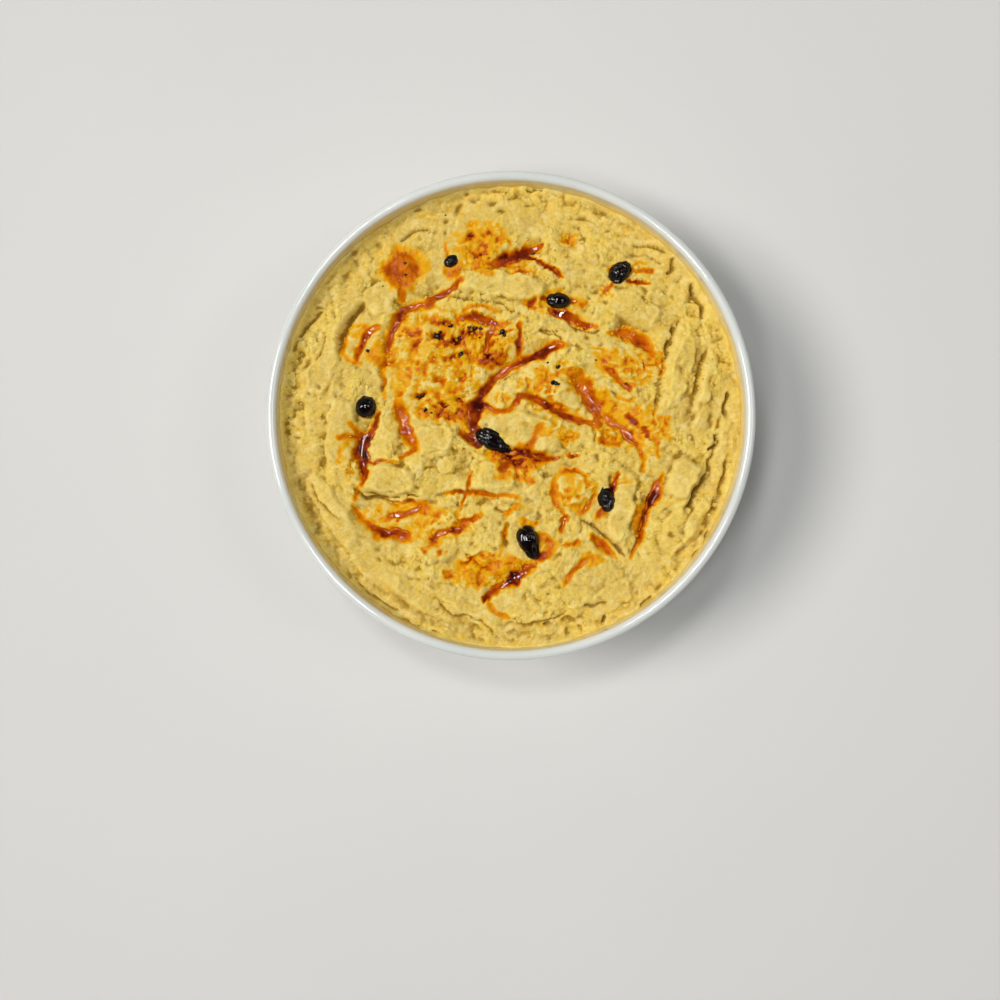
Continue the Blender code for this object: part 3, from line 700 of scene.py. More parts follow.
# where the oil ran: path, half width and strength along it (1 is dark red), depth of its groove
streaks = [
    ([(-17.5, 48), (-20, 45.5), (-23, 44), (-27, 42), (-30, 40), (-33, 39.5), (-37, 38.5), (-39.5, 36)],
     (0.9, 1.0, 1.2, 1.8, 2.1, 1.7, 1.7, 1.5), (0.7, 0.85, 0.95, 0.8, 0.8, 0.95, 0.95, 1.0), 1.1),
    ([(-39.5, 36), (-41, 32.5), (-42.5, 29), (-43, 25), (-43.5, 21)],
     (1.5, 1.4, 1.3, 1.1, 0.8), (1.0, 1.0, 1.0, 0.9, 0.5), 1.2),
    ([(-47.5, 31.5), (-50.5, 30.5), (-52, 27), (-53.2, 23.5), (-54, 20)],
     (1.2, 1.5, 1.3, 1.2, 0.8), (0.7, 0.8, 0.95, 1.0, 0.7), 0.9),
    ([(-55, 33), (-57.5, 30), (-59, 26), (-59, 22.5), (-56.5, 19.5), (-53.5, 19)],
     0.9, (0.25, 0.4, 0.5, 0.6, 0.5, 0.5), 0.3),
    ([(-50, 22.5), (-46, 19.5), (-41, 18.5)], 1.2, 0.5, 0.2),
    ([(-44.5, 17), (-44.5, 12), (-44.8, 7)], 0.8, 0.42, 0.2),
    ([(-38.5, 47), (-38.5, 42)], 1.2, 0.6, 0.0),
    ([(-23, 61), (-22, 57), (-20.5, 55)], 0.7, (0.4, 0.6, 0.8), 0.3),
    ([(-8, 54), (-4, 54.8), (0, 56.3), (4.5, 58.2), (11, 60.6)],
     (0.8, 2.3, 2.7, 2.3, 0.7), (0.75, 1.1, 1.15, 1.05, 0.7), 1.5),
    ([(4, 57.5), (8, 56), (11, 54), (14, 52.5), (16.5, 51), (18.5, 49)],
     (1.0, 0.8, 0.7, 1.0, 0.9, 0.5), (1.0, 1.25, 1.1, 1.1, 1.05, 0.7), 1.0),
    ([(15, 37.5), (19, 36), (22, 34.5), (25, 33), (30, 32)],
     (1.5, 1.8, 1.6, 1.7, 0.7), (1.0, 1.0, 0.85, 1.05, 0.5), 0.9),
    ([(11, 41.5), (13.5, 41)], 0.8, 0.9, 0.4),
    ([(19, 40.5), (23, 41)], 0.9, 0.7, 0.4),
    ([(41.5, 47.8), (45, 47.5), (49, 46.5)], (0.9, 0.8, 0.6), (1.15, 1.1, 0.6), 0.7),
    ([(42, 52), (46, 51.5), (49.5, 51.5)], 0.8, (0.5, 0.6, 0.8), 0.5),
    ([(43, 53), (45, 54.5), (48, 54)], 0.5, 0.42, 0.3),
    ([(36, 47), (33, 44)], 0.8, 0.65, 0.3),
    ([(36, 53), (34, 51)], 0.5, 0.5, 0.2),
    ([(34.5, 29.5), (39, 29.5), (43, 29), (46, 27), (49, 24.5), (51, 20.5)],
     (1.2, 2.2, 2.6, 2.4, 2.0, 1.0), (0.5, 0.64, 0.72, 0.84, 0.72, 0.45), 1.0),
    ([(33, 17.5), (36, 15.5), (39, 12), (42, 10)], (1.0, 1.2, 1.0, 1.1), (0.55, 0.7, 0.6, 0.75), 0.5),
    ([(20, 25.5), (16, 25.5), (12, 23), (8, 21), (4, 19.5), (-1, 17.3), (-6, 13.5), (-8.5, 11)],
     (1.0, 1.7, 1.7, 1.6, 1.6, 1.5, 1.4, 1.4), (0.5, 0.95, 1.1, 1.2, 1.05, 0.82, 0.8, 0.9), 1.3),
    ([(-8.5, 11), (-10.5, 7.5), (-12.3, 4.5), (-13, 1), (-13.2, -3), (-12, -7)],
     (1.4, 1.7, 2.5, 2.3, 2.0, 1.6), (0.95, 1.1, 1.4, 1.1, 0.95, 0.85), 1.3),
    ([(-9, 4.5), (-6, 2.6), (-2, 2.2), (1, 4.3), (3, 7)],
     (1.1, 1.0, 0.9, 1.0, 1.1), (0.95, 0.75, 0.65, 0.7, 0.8), 0.7),
    ([(3, 7.4), (6, 7.5), (10, 5.6), (14, 3.8), (17, 1.8), (20, 0), (25, -1.5), (31, -2.5)],
     (1.2, 1.4, 1.4, 1.3, 1.3, 1.3, 1.2, 1.4), (0.85, 0.95, 1.0, 1.0, 1.0, 0.95, 0.85, 0.7), 1.2),
    ([(22, 16), (24.5, 13.5), (26.5, 10), (28.5, 6.5), (30.5, 3), (31, 0)],
     (2.4, 3.2, 3.3, 3.0, 2.4, 1.6), (0.5, 0.66, 0.74, 0.8, 0.84, 0.7), 1.4),
    ([(33, 1), (38, -3), (42, -7), (45, -11), (46.5, -15), (47, -19)],
     (1.8, 1.8, 1.5, 1.2, 0.9, 0.6), (0.55, 0.66, 0.8, 0.85, 0.6, 0.45), 1.0),
    ([(-18, 35), (-14, 35.4), (-10, 34.6), (-5.5, 33)], (1.3, 1.7, 1.6, 1.0), (0.85, 0.95, 1.0, 0.9), 1.1),
    ([(-16.5, 37.5), (-14, 39), (-9, 39), (-5.5, 37.5)], 0.7, 0.5, 0.4),
    ([(-6, 31), (-8, 28), (-8, 24)], 1.1, 0.8, 0.7),
    ([(3, 33), (3.3, 29), (2.6, 26), (3, 21)], (1.0, 1.0, 1.3, 1.0), (0.6, 0.8, 1.05, 0.6), 0.7),
    ([(-46.5, 1.5), (-48.5, -3.5), (-50.5, -7), (-52.4, -10), (-52.4, -14), (-52.2, -17.5), (-51.5, -21),
      (-52.5, -24)],
     (0.9, 1.1, 1.5, 2.2, 2.1, 1.9, 1.4, 0.9), (0.85, 1.0, 1.05, 1.25, 1.45, 1.3, 1.0, 0.6), 1.5),
    ([(-56.5, -2), (-54.5, -5), (-52, -7.5)], 0.9, (0.4, 0.55, 0.8), 0.4),
    ([(-60, -7.5), (-57, -6.5), (-54, -7)], 1.1, (0.5, 0.6, 0.75), 0.4),
    ([(-51, -15.5), (-48, -16), (-44, -15.6), (-39, -16)], 0.6, (1.1, 0.8, 0.45, 0.35), 0.6),
    ([(-54, -25), (-54.5, -29)], 0.8, 0.55, 0.3),
    ([(-39.5, 5), (-38.8, 0), (-37.5, -4), (-36, -7), (-34.5, -9.5), (-33.7, -11.2)],
     (1.6, 2.2, 2.3, 2.3, 2.1, 1.4), (0.5, 0.76, 0.82, 0.8, 0.74, 0.66), 0.9),
    ([(-33.7, -11), (-36, -13), (-39, -14.6)], (1.1, 1.0, 0.7), (0.8, 0.75, 0.5), 0.6),
    ([(-23, -27), (-19, -26.4), (-15, -26.5), (-10, -27), (-6, -28), (-1, -27.5), (3, -28.5)],
     0.7, (0.5, 0.85, 0.9, 0.9, 0.7, 0.55, 0.4), 1.0),
    ([(-14, -19.5), (-15, -24), (-15.6, -26.5), (-17, -30), (-18, -32.5)],
     0.6, (0.6, 0.65, 0.8, 0.8, 0.45), 0.7),
    ([(-55.5, -31), (-53.8, -34.5), (-51, -37.5), (-48.5, -39.5)],
     (0.9, 0.9, 0.9, 1.0), (0.5, 0.6, 0.7, 0.9), 0.9),
    ([(-49, -39.5), (-46, -41), (-42, -41), (-39, -41.5), (-35.5, -43.5)],
     (1.1, 1.8, 1.8, 2.0, 1.1), (0.9, 1.15, 1.1, 1.05, 0.55), 1.2),
    ([(-45, -36), (-40, -34.5), (-36, -34), (-33, -32.5), (-30.5, -30.5)],
     1.1, (0.55, 0.8, 0.75, 0.85, 0.5), 0.7),
    ([(-28.5, -45.5), (-26, -42), (-23, -40.6), (-19, -40), (-15.5, -38.3)],
     (0.8, 1.0, 1.2, 1.4, 1.0), (0.5, 0.6, 0.85, 1.1, 0.7), 0.8),
    ([(-20, -37.5), (-16, -36.6), (-13, -35.7), (-10.5, -34.5)], 1.0, (0.45, 0.75, 0.8, 0.4), 0.6),
    ([(8.5, -52.3), (4, -55), (0, -57.5), (-3, -59.5), (-6, -61.5), (-9.5, -64.5)],
     (1.0, 1.5, 2.1, 1.5, 1.3, 1.0), (0.75, 0.9, 1.25, 1.0, 1.0, 1.0), 1.3),
    ([(-8, -66), (-5, -69), (-1, -70.5)], 0.9, (0.4, 0.55, 0.45), 0.5),
    ([(-1.5, -37.5), (-2.3, -41.5), (-3, -46), (-4, -49)], 0.7, (0.35, 0.5, 0.42, 0.4), 0.4),
    ([(-17, -6), (-14, -7.5), (-11, -10)], (1.0, 1.5, 1.2), (0.7, 0.95, 1.0), 0.6),
    ([(-3, -12.5), (3, -12.8), (8, -13.6), (13, -14.5), (17.5, -14.3)],
     (1.6, 1.4, 1.2, 1.0, 0.6), (0.72, 0.76, 0.8, 1.0, 0.75), 0.9),
    ([(-3.5, -18), (-1, -16.5), (5, -15)], (1.6, 1.4, 1.0), (0.85, 0.8, 0.8), 0.6),
    ([(5.5, -11.5), (8, -8), (9.5, -5), (11.5, -2.5)], (1.2, 1.2, 1.1, 0.9), (0.8, 0.8, 0.6, 0.45), 0.5),
    ([(-4, -18.5), (0, -20.5), (5, -21.8), (7.5, -23)], 1.1, 0.5, 0.3),
    ([(20.3, -13), (21.5, -13.8), (24, -13.5)], 0.8, (0.7, 0.95, 0.45), 0.4),
    ([(31.5, -8), (35, -9), (38.5, -9.5)], 1.1, 0.6, 0.3),
    ([(41.5, 0.3), (44, -2)], 1.1, 1.0, 0.5),
    ([(46.8, -4), (48.2, -6)], 0.9, 0.95, 0.4),
    ([(51, -7), (52, -14.5)], 0.8, 0.52, 0.4),
    ([(37.6, -19.5), (36.5, -23.5), (35, -27)], (0.6, 0.8, 1.0), (0.7, 1.1, 1.3), 0.9),
    ([(33, -32), (31, -35)], 1.3, 0.8, 0.5),
    ([(29.7, -24), (29.2, -28), (27.5, -31), (24.5, -34)], 0.9, (0.35, 0.5, 0.6, 0.6), 0.6),
    ([(15, -21.5), (15, -27), (16.3, -31), (18.3, -33.5)],
     (0.9, 1.4, 1.1, 0.7), (0.4, 0.55, 0.8, 0.5), 0.5),
    ([(19.3, -35), (17.6, -40)], 1.1, 0.8, 0.7),
    ([(3, -31), (-2, -34.5)], 0.9, 0.45, 0.2),
    ([(53.5, -19.5), (52.5, -24), (51, -27.5), (49, -31), (47.5, -35), (46.5, -39), (45.5, -44),
      (43.5, -47), (42, -50)],
     (0.7, 1.2, 1.7, 1.2, 1.1, 0.9, 0.9, 0.6, 0.5), (0.5, 0.75, 1.2, 1.05, 0.9, 0.85, 0.8, 0.55, 0.4), 1.2),
    ([(45, -32), (44.8, -37), (45.5, -41)], 1.7, 0.46, 0.3),
    ([(28.5, -42), (31, -44), (34, -46.5), (37.5, -50)], (0.9, 1.7, 1.6, 0.7), (0.5, 0.85, 0.8, 0.4), 0.9),
    ([(31, -49.5), (26, -50.5), (23, -53.5), (20, -56.5), (18, -60)],
     (1.4, 1.1, 1.0, 0.9, 1.1), (0.35, 0.55, 0.75, 0.55, 0.5), 0.6),
    ([(10, -41.5), (13, -43), (14.5, -46), (13, -48.3)], 1.3, (0.45, 0.5, 0.55, 0.7), 0.4),
    ([(8.5, -49), (12.5, -48)], 1.5, (1.2, 0.9), 0.5),
]

# stained patches: x, y, length, width, turn in degrees, strength, how crumbly
stains = [
    (-26, 22, 38, 32, 10, 0.3, 0.55), (-24, 5, 24, 14, 0, 0.29, 0.6), (43, -3, 26, 16, -25, 0.24, 0.6),
    (40, 17, 20, 12, -20, 0.24, 0.6), (-35, -37, 34, 13, 0, 0.28, 0.75), (-11, 60, 22, 17, 10, 0.28, 0.55),
    (-7, -54, 28, 12, 5, 0.26, 0.7), (17, 8, 24, 18, -20, 0.22, 0.9),
    (-38.5, 51.5, 12.5, 12.5, 20, 0.66, 0.0), (-37.5, 52.5, 17, 15.5, 30, 0.32, 0.3),
    (-20.5, 52.3, 7, 7, 0, 0.58, 0.2), (-11, 60.5, 16, 11, 10, 0.52, 0.4), (-11, 62, 19, 13, 10, 0.3, 0.6),
    (-14.5, 63, 3.5, 3, 0, 0.72, 0.2), (-12, 57.5, 4, 2, 0, 0.7, 0.2), (-9, 53, 8, 6, 0, 0.52, 0.2),
    (4.5, 52, 10, 4.5, 0, 0.42, 0.5), (15, 40, 19, 9, 0, 0.46, 0.45), (24.5, 40, 5, 3.5, 0, 0.5, 0.4),
    (37, 18, 12, 9, -20, 0.5, 0.5), (46, 18, 11, 9, -30, 0.46, 0.6), (41.5, 16.6, 4, 2.5, 0, 0.76, 0.2),
    (39, 20, 3, 3, 0, 0.7, 0.2), (42, 10.5, 4, 2, -20, 0.72, 0.2), (46, 26, 12, 6, -30, 0.32, 0.5),
    (14, 14, 18, 13, 0, 0.36, 0.75), (11, 15, 4, 4, 0, 0.5, 0.3), (34.5, 4, 6, 13, 15, 0.5, 0.3),
    (-6, 21, 9.5, 7.5, 20, 0.82, 0.1), (-7.5, 22.5, 2, 2, 0, 1.2, 0.0), (-1, 31, 6, 6, 0, 0.4, 0.5),
    (-34, 29.5, 12, 13, 0, 0.46, 0.55), (-33.5, 29, 3.5, 4, 0, 0.72, 0.2), (-28, 24, 7, 6, 0, 0.36, 0.35),
    (-24, 29, 12, 13, 0, 0.5, 0.5), (-15.5, 28, 15, 13, 0, 0.58, 0.45), (-18.5, 28, 4.5, 2.6, 0, 1.0, 0.1),
    (-23, 30.5, 4, 4, 0, 0.7, 0.2), (-26, 22, 16, 9, 0, 0.48, 0.55), (-33, 18, 8, 9, 0, 0.46, 0.5),
    (-33, 18, 2.2, 4, 0, 0.72, 0.1), (-17, 17, 6, 9, 0, 0.46, 0.4), (-28.5, 17.5, 8, 7, 0, 0.44, 0.5),
    (-24, 8, 19, 11, 0, 0.42, 0.65), (-20, 2.5, 19, 8, 0, 0.56, 0.4), (-22, 0.5, 8, 3, 0, 0.78, 0.1),
    (-16, 2, 5, 6, 0, 0.84, 0.1), (-31, 5, 9, 11, 0, 0.46, 0.5), (-20.5, 9, 6, 6, 0, 0.5, 0.3),
    (-4, 27, 8, 9, 0, 0.5, 0.4), (-46, 22.5, 8, 8, 0, 0.46, 0.15), (-53, 30.5, 8, 6, 0, 0.4, 0.4),
    (-39.5, 8, 4, 5, 0, 0.42, 0.4), (-57, -15, 6, 14, 0, 0.36, 0.6), (-56, -9, 8, 6, 0, 0.42, 0.5),
    (-36, -36.5, 22, 8, 3, 0.42, 0.6), (-35, -32, 14, 5, 5, 0.36, 0.4), (-34, -39.5, 12, 6, 10, 0.36, 0.4),
    (-22, -38, 20, 8, 8, 0.34, 0.6), (-27, -44, 6, 4, 40, 0.5, 0.3), (-31, -47.5, 3, 3.5, 0, 0.6, 0.2),
    (-24, -48, 3, 2.6, 0, 0.85, 0.1), (-2, -52.8, 22, 6.5, 3, 0.52, 0.25), (-12, -57, 8, 9, 0, 0.46, 0.4),
    (-14.5, -53, 7, 6, 0, 0.42, 0.4), (-8, -49.4, 6, 2, 0, 0.6, 0.2), (-22, -56, 2.6, 3, 0, 0.55, 0.1),
    (2, -14.5, 19, 9, -5, 0.8, 0.15), (0, -20, 14, 5, -5, 0.42, 0.5), (-14.5, -5, 8, 7, 0, 0.5, 0.3),
    (17, 1, 8, 4, -20, 0.5, 0.3), (20.5, -6.5, 7, 4.5, -20, 0.5, 0.4), (12, -4.5, 9, 5, 0, 0.4, 0.5),
    (46, -3, 20, 11, -25, 0.5, 0.5), (52, -3, 8, 7, 0, 0.48, 0.5), (36, -6, 12, 9, -20, 0.4, 0.5),
    (22, -25.5, 13, 13, 0, 0.34, 0.65), (22, -26, 4.5, 4, 0, 0.52, 0.3), (21, -19.5, 8, 3.5, 0, 0.42, 0.3),
    (12, -46, 9, 7, 0, 0.42, 0.4), (21, -45.2, 6, 2, 0, 0.5, 0.2), (6, -37.5, 6, 3, 0, 0.42, 0.3),
    (42, -22.5, 7, 3, 0, 0.38, 0.4), (16, 3, 9, 3, -20, 0.5, 0.3), (5, 11, 7, 4, 20, 0.42, 0.5),
    (32, 22, 8, 6, -30, 0.36, 0.5), (-2, 6, 6, 4, 0, 0.3, 0.6), (20, 62.5, 7, 3, 0, 0.3, 0.5),
    (-47, 27, 5, 6, 0, 0.34, 0.5), (28, -50, 9, 4, 0, 0.34, 0.4), (-26.5, -36, 6, 5, 0, 0.34, 0.5),
    (52, 20, 4, 9, 0, 0.34, 0.6), (33, 44, 5, 4, 0, 0.3, 0.6),
]


def oilField(x, y):  # the oil's strength, its grooves' depth and how far down in them it stands
    sway = 0.32 * softNoise(x, y, 2.6, 101) + 0.3 * softNoise(x, y, 1.2, 102)
    swayed = 0.32 * softNoise(x, y, 2.6, 103) + 0.3 * softNoise(x, y, 1.2, 104)
    strength, groove, pool = np.zeros_like(x), np.zeros_like(x), np.zeros_like(x)
    spread = 1.05 + 0.4 * layeredNoise(x, y, 2.4, 105, 2)
    uneven = 1 + 0.24 * layeredNoise(x, y, 2.6, 106, 2, 0.6)
    bleed = ease(0.45 + 1.3 * layeredNoise(x, y, 3.2, 107, 2))
    for points, half, strong, depth in streaks:
        near, signed, share = alongPath(x + sway, y + swayed, points, 7)
        half = widthAlong(half, share) * spread[near]
        away = np.abs(signed) / half
        strong = widthAlong(strong, share) * uneven[near]
        core = oil["core"] * strong * np.exp(-((away / oil["core"]) ** (2.4 + 4.2 * (1 - bleed[near]))))
        core *= ease((core - 0.1) / 0.35)
        halo = oil["halo"] * bleed[near] * np.minimum(strong, 1) * np.exp(-((away / oil["haloReach"]) ** 2))
        strength[near] = np.maximum.reduce([strength[near], core, halo])
        deep = depth * fadeEnds(share, 0.15)
        groove[near] = np.maximum(groove[near], deep * np.exp(-((away / oil["grooveReach"]) ** 2)))
        filled = oil["pool"] * deep * np.exp(-((away / oil["poolReach"]) ** 6))
        pool[near] = np.maximum(pool[near], filled)
    return strength, groove, pool


def stainField(x, y, dips, strength):  # patches broken up by noise; crumbly ones keep to the dips
    sway = 1.3 * softNoise(x, y, 4, 111) + 0.6 * softNoise(x, y, 1.5, 112) + 0.3 * softNoise(x, y, 0.8, 117)
    swayed = 1.3 * softNoise(x, y, 4, 113) + 0.6 * softNoise(x, y, 1.5, 114) + 0.3 * softNoise(x, y, 0.8, 118)
    broken = 0.4 + 0.6 * layeredNoise(x, y, 2.6, 115, 3, 0.6) + 1.3 * dips
    varied = np.clip(0.85 + 0.6 * layeredNoise(x, y, 2.4, 119, 2) + 1.1 * dips, 0.3, 2.0) - 1
    patches = np.zeros_like(x)
    for cx, cy, length, width, turn, strong, crumbly in stains:
        along, across = turned(x + sway, y + swayed, cx, cy, turn)
        reach = np.sqrt((2 * along / length) ** 2 + (2 * across / width) ** 2)
        inside = strong * ease((1.3 - reach) / 0.5)
        inside *= 1 - crumbly * (1 - ease((broken - 0.2) / 0.4))
        patches = np.maximum(patches, 1.2 * inside * (1 + (0.25 + 0.75 * min(crumbly * 2, 1)) * varied))
    return np.maximum(patches, strength * (1 + 0.1 * softNoise(x, y, 1.8, 120)))


def pasteSurface(x, y):  # everything the paste's top is made of, at places in mm
    ragged = paste["ragged"]
    wx = x + ragged * softNoise(x, y, 3.2, 21) + 0.14 * softNoise(x, y, 1.2, 22)
    wy = y + ragged * softNoise(x, y, 3.2, 23) + 0.14 * softNoise(x, y, 1.2, 24)
    strength, groove, pool = oilField(x, y)
    form = formHeight(wx, wy)
    film = paste["level"] + form - pool - 0.7 * (1 - ease((strength - oil["wetFrom"] + 0.12) / 0.24))
    form += crackHeight(wx, wy) - groove
    calm = np.clip(smoothness(x, y) + 0.85 * ease((strength - 0.5) / 0.3), 0, 1)
    away = np.maximum(wallRadius(paste["level"]) - np.hypot(x, y), 0)
    curd, rough = curdHeight(x, y, calm)
    curd *= 0.55 + 0.45 * ease(away / 2.5)
    climb = 0.8 + 0.35 * ringNoise(x, y, 14, 9, 25) + 0.3 * softNoise(x, y, 4, 26)
    climb *= 1 - 0.6 * ease(0.1 + np.cos(np.arctan2(y, x) - math.radians(paste["lowSide"])))
    form += paste["edgeRise"] * climb * np.exp(-((away / paste["edgeReach"]) ** 1.3))
    height = paste["level"] + form + curd
    return {"height": height, "film": film, "strength": strength, "rough": rough, "curd": curd}


def blurred(grid, times):  # each point averaged with its neighbours, several times over
    for _ in range(times):
        padded = np.pad(grid, 1, mode="edge")
        grid = (padded[:-2, 1:-1] + padded[2:, 1:-1] + padded[1:-1, :-2] + padded[1:-1, 2:] + 2 * grid) / 6
    return grid


def discGrid(cells):  # a square grid spread to a disc: each square ring becomes a circle, evenly divided
    line = np.linspace(-1, 1, cells + 1)
    u, v = np.meshgrid(line, line)
    ring = np.maximum(np.abs(u), np.abs(v))
    safe = np.maximum(ring, 1e-9)
    wide = np.abs(v) <= np.abs(u)
    angle = np.where(wide, v / safe, 2 - u / safe) * math.pi / 4
    angle = np.where(wide & (u < 0), math.pi - v / safe * math.pi / 4, angle)
    angle = np.where(~wide & (v < 0), (u / safe - 2) * math.pi / 4, angle)
    return ring * np.cos(angle), ring * np.sin(angle)


def oilRamp(r, strength):  # the oil's colour at a strength
    return r.ramp(r.span(strength, 0, 1.4), [(place, colour(code)) for place, code in oilColours])


def pasteMaterial():  # torn and pressed paste, with painted highlight on raised lumps and painted shade in dips, coloured by the stain
    r = Recipe("hummus paste")
    stain, dips, rough = (r.value(name) for name in ("stain", "dips", "rough"))
    mottle = r.noise(0.006, 4, 0.6)
    grain = r.noise(0.0010, 3, 0.7)
    torn = r.maths("ADD", r.span(mottle, 0.3, 0.7, -0.35, 0.35), rough)
    base = r.mix(torn, colour(paste["pressed"]), colour(paste["colour"]))
    base = r.mix(r.span(r.noise(0.0045, 3, 0.6), 0.5, 0.68, 0, 0.7), base, colour(paste["cream"]))
    base = r.mix(r.span(r.noise(0.0026, 2, 0.5), 0.56, 0.68, 0, 0.75), base, colour(paste["yellow"]))
    base = r.mix(r.span(grain, 0.4, 0.72, 0, 0.5), base, colour(paste["light"]))
    # painted highlight: raised lumps (dips below zero) are lightened towards the light colour
    base = r.mix(r.span(dips, -0.15, -0.7, 0, 0.45), base, colour(paste["light"]))
    # painted shade: dips and broad hollows are darkened towards the deep colour
    base = r.mix(r.span(dips, 0.05, 0.75, 0, 0.85), base, colour(paste["deep"]))
    flecks = r.span(r.cells(0.0021), 0.10, 0.05)
    base = r.mix(r.maths("MULTIPLY", flecks, 0.3), base, colour("9a7a2c"))
    shade = r.mix(r.span(stain, 0.05, 0.19), base, oilRamp(r, stain))
    wet = r.span(stain, 0.2, 0.7)
    gloss = r.maths("SUBTRACT", r.span(grain, 0.3, 0.7, 0.66, 0.5), r.maths("MULTIPLY", wet, 0.38))
    uneven = r.span(rough, 0, 1, 0.6, 1)
    fine = r.bump(r.maths("MULTIPLY", r.noise(0.0007, 3, 0.7), uneven), 0.0005, 0.4)
    normal = r.bump(r.maths("MULTIPLY", r.noise(0.0021, 4, 0.65), uneven), 0.0010, 0.35, fine)
    return r.finish(
        Base_Color=shade, Roughness=gloss, Normal=normal, IOR=1.42, Specular_IOR_Level=0.16,
        Subsurface_Weight=0.18, Subsurface_Radius=(0.0018, 0.0009, 0.0002), Subsurface_Scale=1.0,
    )


def makePaste():  # the top as a disc grid raised to its height, then a skirt down the wall and a floor
    discX, discY = discGrid(paste["cells"])
    reach = wallRadius(paste["level"]) + 0.15
    x, y = (discX * reach).ravel(), (discY * reach).ravel()
    top = pasteSurface(x, y)
    shape = discX.shape
    heightGrid = top["height"].reshape(shape)
    # dips: how far each point lies below its blurred surroundings, near and wide; the material paints shade
    # in dips and highlight on rises from it, and the stain keeps to the dips
    nearGrid = blurred(heightGrid, paste["nearBlur"])
    wideGrid = blurred(nearGrid, paste["wideBlur"])
    dips = (nearGrid - heightGrid) / paste["nearDip"] + (wideGrid - nearGrid) / paste["wideDip"]
    dips = np.clip(dips, -1, 1).ravel()
    stain = stainField(x, y, dips, top["strength"])
    fit = (wallRadius(top["height"]) + 0.15) / reach
    points = np.stack([x * fit, y * fit, top["height"]], 1)
    count = shape[0]
    index = np.arange(count * count).reshape(shape)
    quads = gridQuads(index).reshape(-1, 4)
    # the rim ring, anticlockwise, then rings down the wall to the bowl's floor
    ring = np.concatenate([index[0, :-1], index[:-1, -1], index[-1, :0:-1], index[:0:-1, 0]])
    angle = np.arctan2(y[ring], x[ring])
    allPoints, allFaces, rows = [points], [quads], [ring]
    total = len(points)
    for height in (*paste["skirt"], bowlShape["footHeight"] + bowlShape["wall"] + 0.3):
        radius = float(wallRadius(height + 0.1)) - 0.1
        level = np.full(len(ring), height)
        allPoints.append(np.stack([radius * np.cos(angle), radius * np.sin(angle), level], 1))
        rows.append(np.arange(total, total + len(ring)))
        total += len(ring)
    for upper, lower in zip(rows[:-1], rows[1:]):
        allFaces.append(np.stack([upper, lower, np.roll(lower, -1), np.roll(upper, -1)], 1))
    allPoints.append(np.array([[0, 0, allPoints[-1][0, 2]]]))
    last = rows[-1]
    allFaces.append(np.stack([np.full(len(last), total), np.roll(last, -1), last], 1))
    side = sum(len(part) for part in allPoints[1:])
    values = {
        "stain": np.concatenate([stain, np.zeros(side)]),
        "dips": np.concatenate([dips, np.zeros(side)]),
        "rough": np.concatenate([top["rough"], np.ones(side)]),
    }
    piece = newPiece("hummus_top", np.vstack(allPoints), allFaces, pasteMaterial(), values)
    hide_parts("hummus")
    return piece


def oilMaterial():  # a glossy liquid, coloured by its depth
    r = Recipe("dark red oil")
    deep = r.maths("ADD", r.value("strength"), r.span(r.noise(0.0016, 3), 0.3, 0.7, -0.07, 0.07))
    normal = r.bump(r.noise(0.0025, 2, 0.5), 0.0003, 0.3)
    return r.finish(Base_Color=oilRamp(r, deep), Roughness=0.05, Normal=normal, IOR=1.47)


def makeOil():  # a film level with the spoon's forms, seen where it stands above the curds
    half = 80.0
    line = np.arange(-half, half, oil["spacing"])
    gridX, gridY = np.meshgrid(line, line)
    x, y = gridX.ravel(), gridY.ravel()
    strength = oilField(x, y)[0]
    possible = np.flatnonzero(strength > oil["wetFrom"] - 0.16)
    top = pasteSurface(x[possible], y[possible])
    ripple = 0.12 * softNoise(x[possible], y[possible], 3.4, 131)
    ripple = ripple + 0.06 * softNoise(x[possible], y[possible], 1.5, 132)
    level = np.minimum(top["film"], top["height"] + oil["deepest"]) + ripple
    above = np.full(x.shape, -9.0)
    above[possible] = level - top["height"]
    height = np.zeros_like(x)
    height[possible] = level
    shape = gridX.shape
    above = above.reshape(shape)
    cornersAbove = gridQuads(above)
    keep = (cornersAbove.max(2) > -0.1) & (cornersAbove.min(2) > -5)
    index = np.arange(x.size).reshape(shape)
    quads = gridQuads(index)[keep]
    used, quads = np.unique(quads, return_inverse=True)
    quads = quads.reshape(-1, 4)
    topPoints = np.stack([x[used], y[used], height[used]], 1)
    underPoints = topPoints - [0, 0, oil["under"]]
    count = len(used)
    edges = np.vstack([quads[:, [0, 1]], quads[:, [1, 2]], quads[:, [2, 3]], quads[:, [3, 0]]])
    code, back = edges[:, 0] * count + edges[:, 1], edges[:, 1] * count + edges[:, 0]
    outer = edges[~np.isin(code, back)]
    walls = np.stack([outer[:, 1], outer[:, 0], outer[:, 0] + count, outer[:, 1] + count], 1)
    faces = [quads, quads[:, ::-1] + count, walls]
    values = {"strength": np.tile(strength[used], 2)}
    return newPiece("oil_film", np.vstack([topPoints, underPoints]), faces, oilMaterial(), values)


hummus = makePaste()
oilFilm = makeOil()


# turn in degrees, narrowing of the +X end, wrinkle depth and size, seed, length, width and height in mm
berryShapes = {
    "berry_left": (60, 0.05, 0.07, 0.75, 11, 8.2, 7.6, 6.2),
    "berry_upper": (-6, 0.0, 0.14, 0.55, 23, 8.6, 5.8, 5.2),
    "berry_right": (42, 0.1, 0.16, 0.5, 35, 9.4, 7.0, 6.0),
    "berry_middle": (-32, 0.12, 0.15, 0.5, 47, 14.2, 6.8, 5.8),
    "berry_side": (-84, 0.15, 0.17, 0.42, 59, 8.8, 6.6, 5.8),
    "berry_front": (-72, 0.3, 0.13, 0.5, 61, 12.6, 7.8, 6.2),
    "berry_small": (24, 0.1, 0.14, 0.5, 73, 5.8, 4.0, 3.8),
}
berryLook = {"around": 128, "down": 88, "sheen": "120303"}


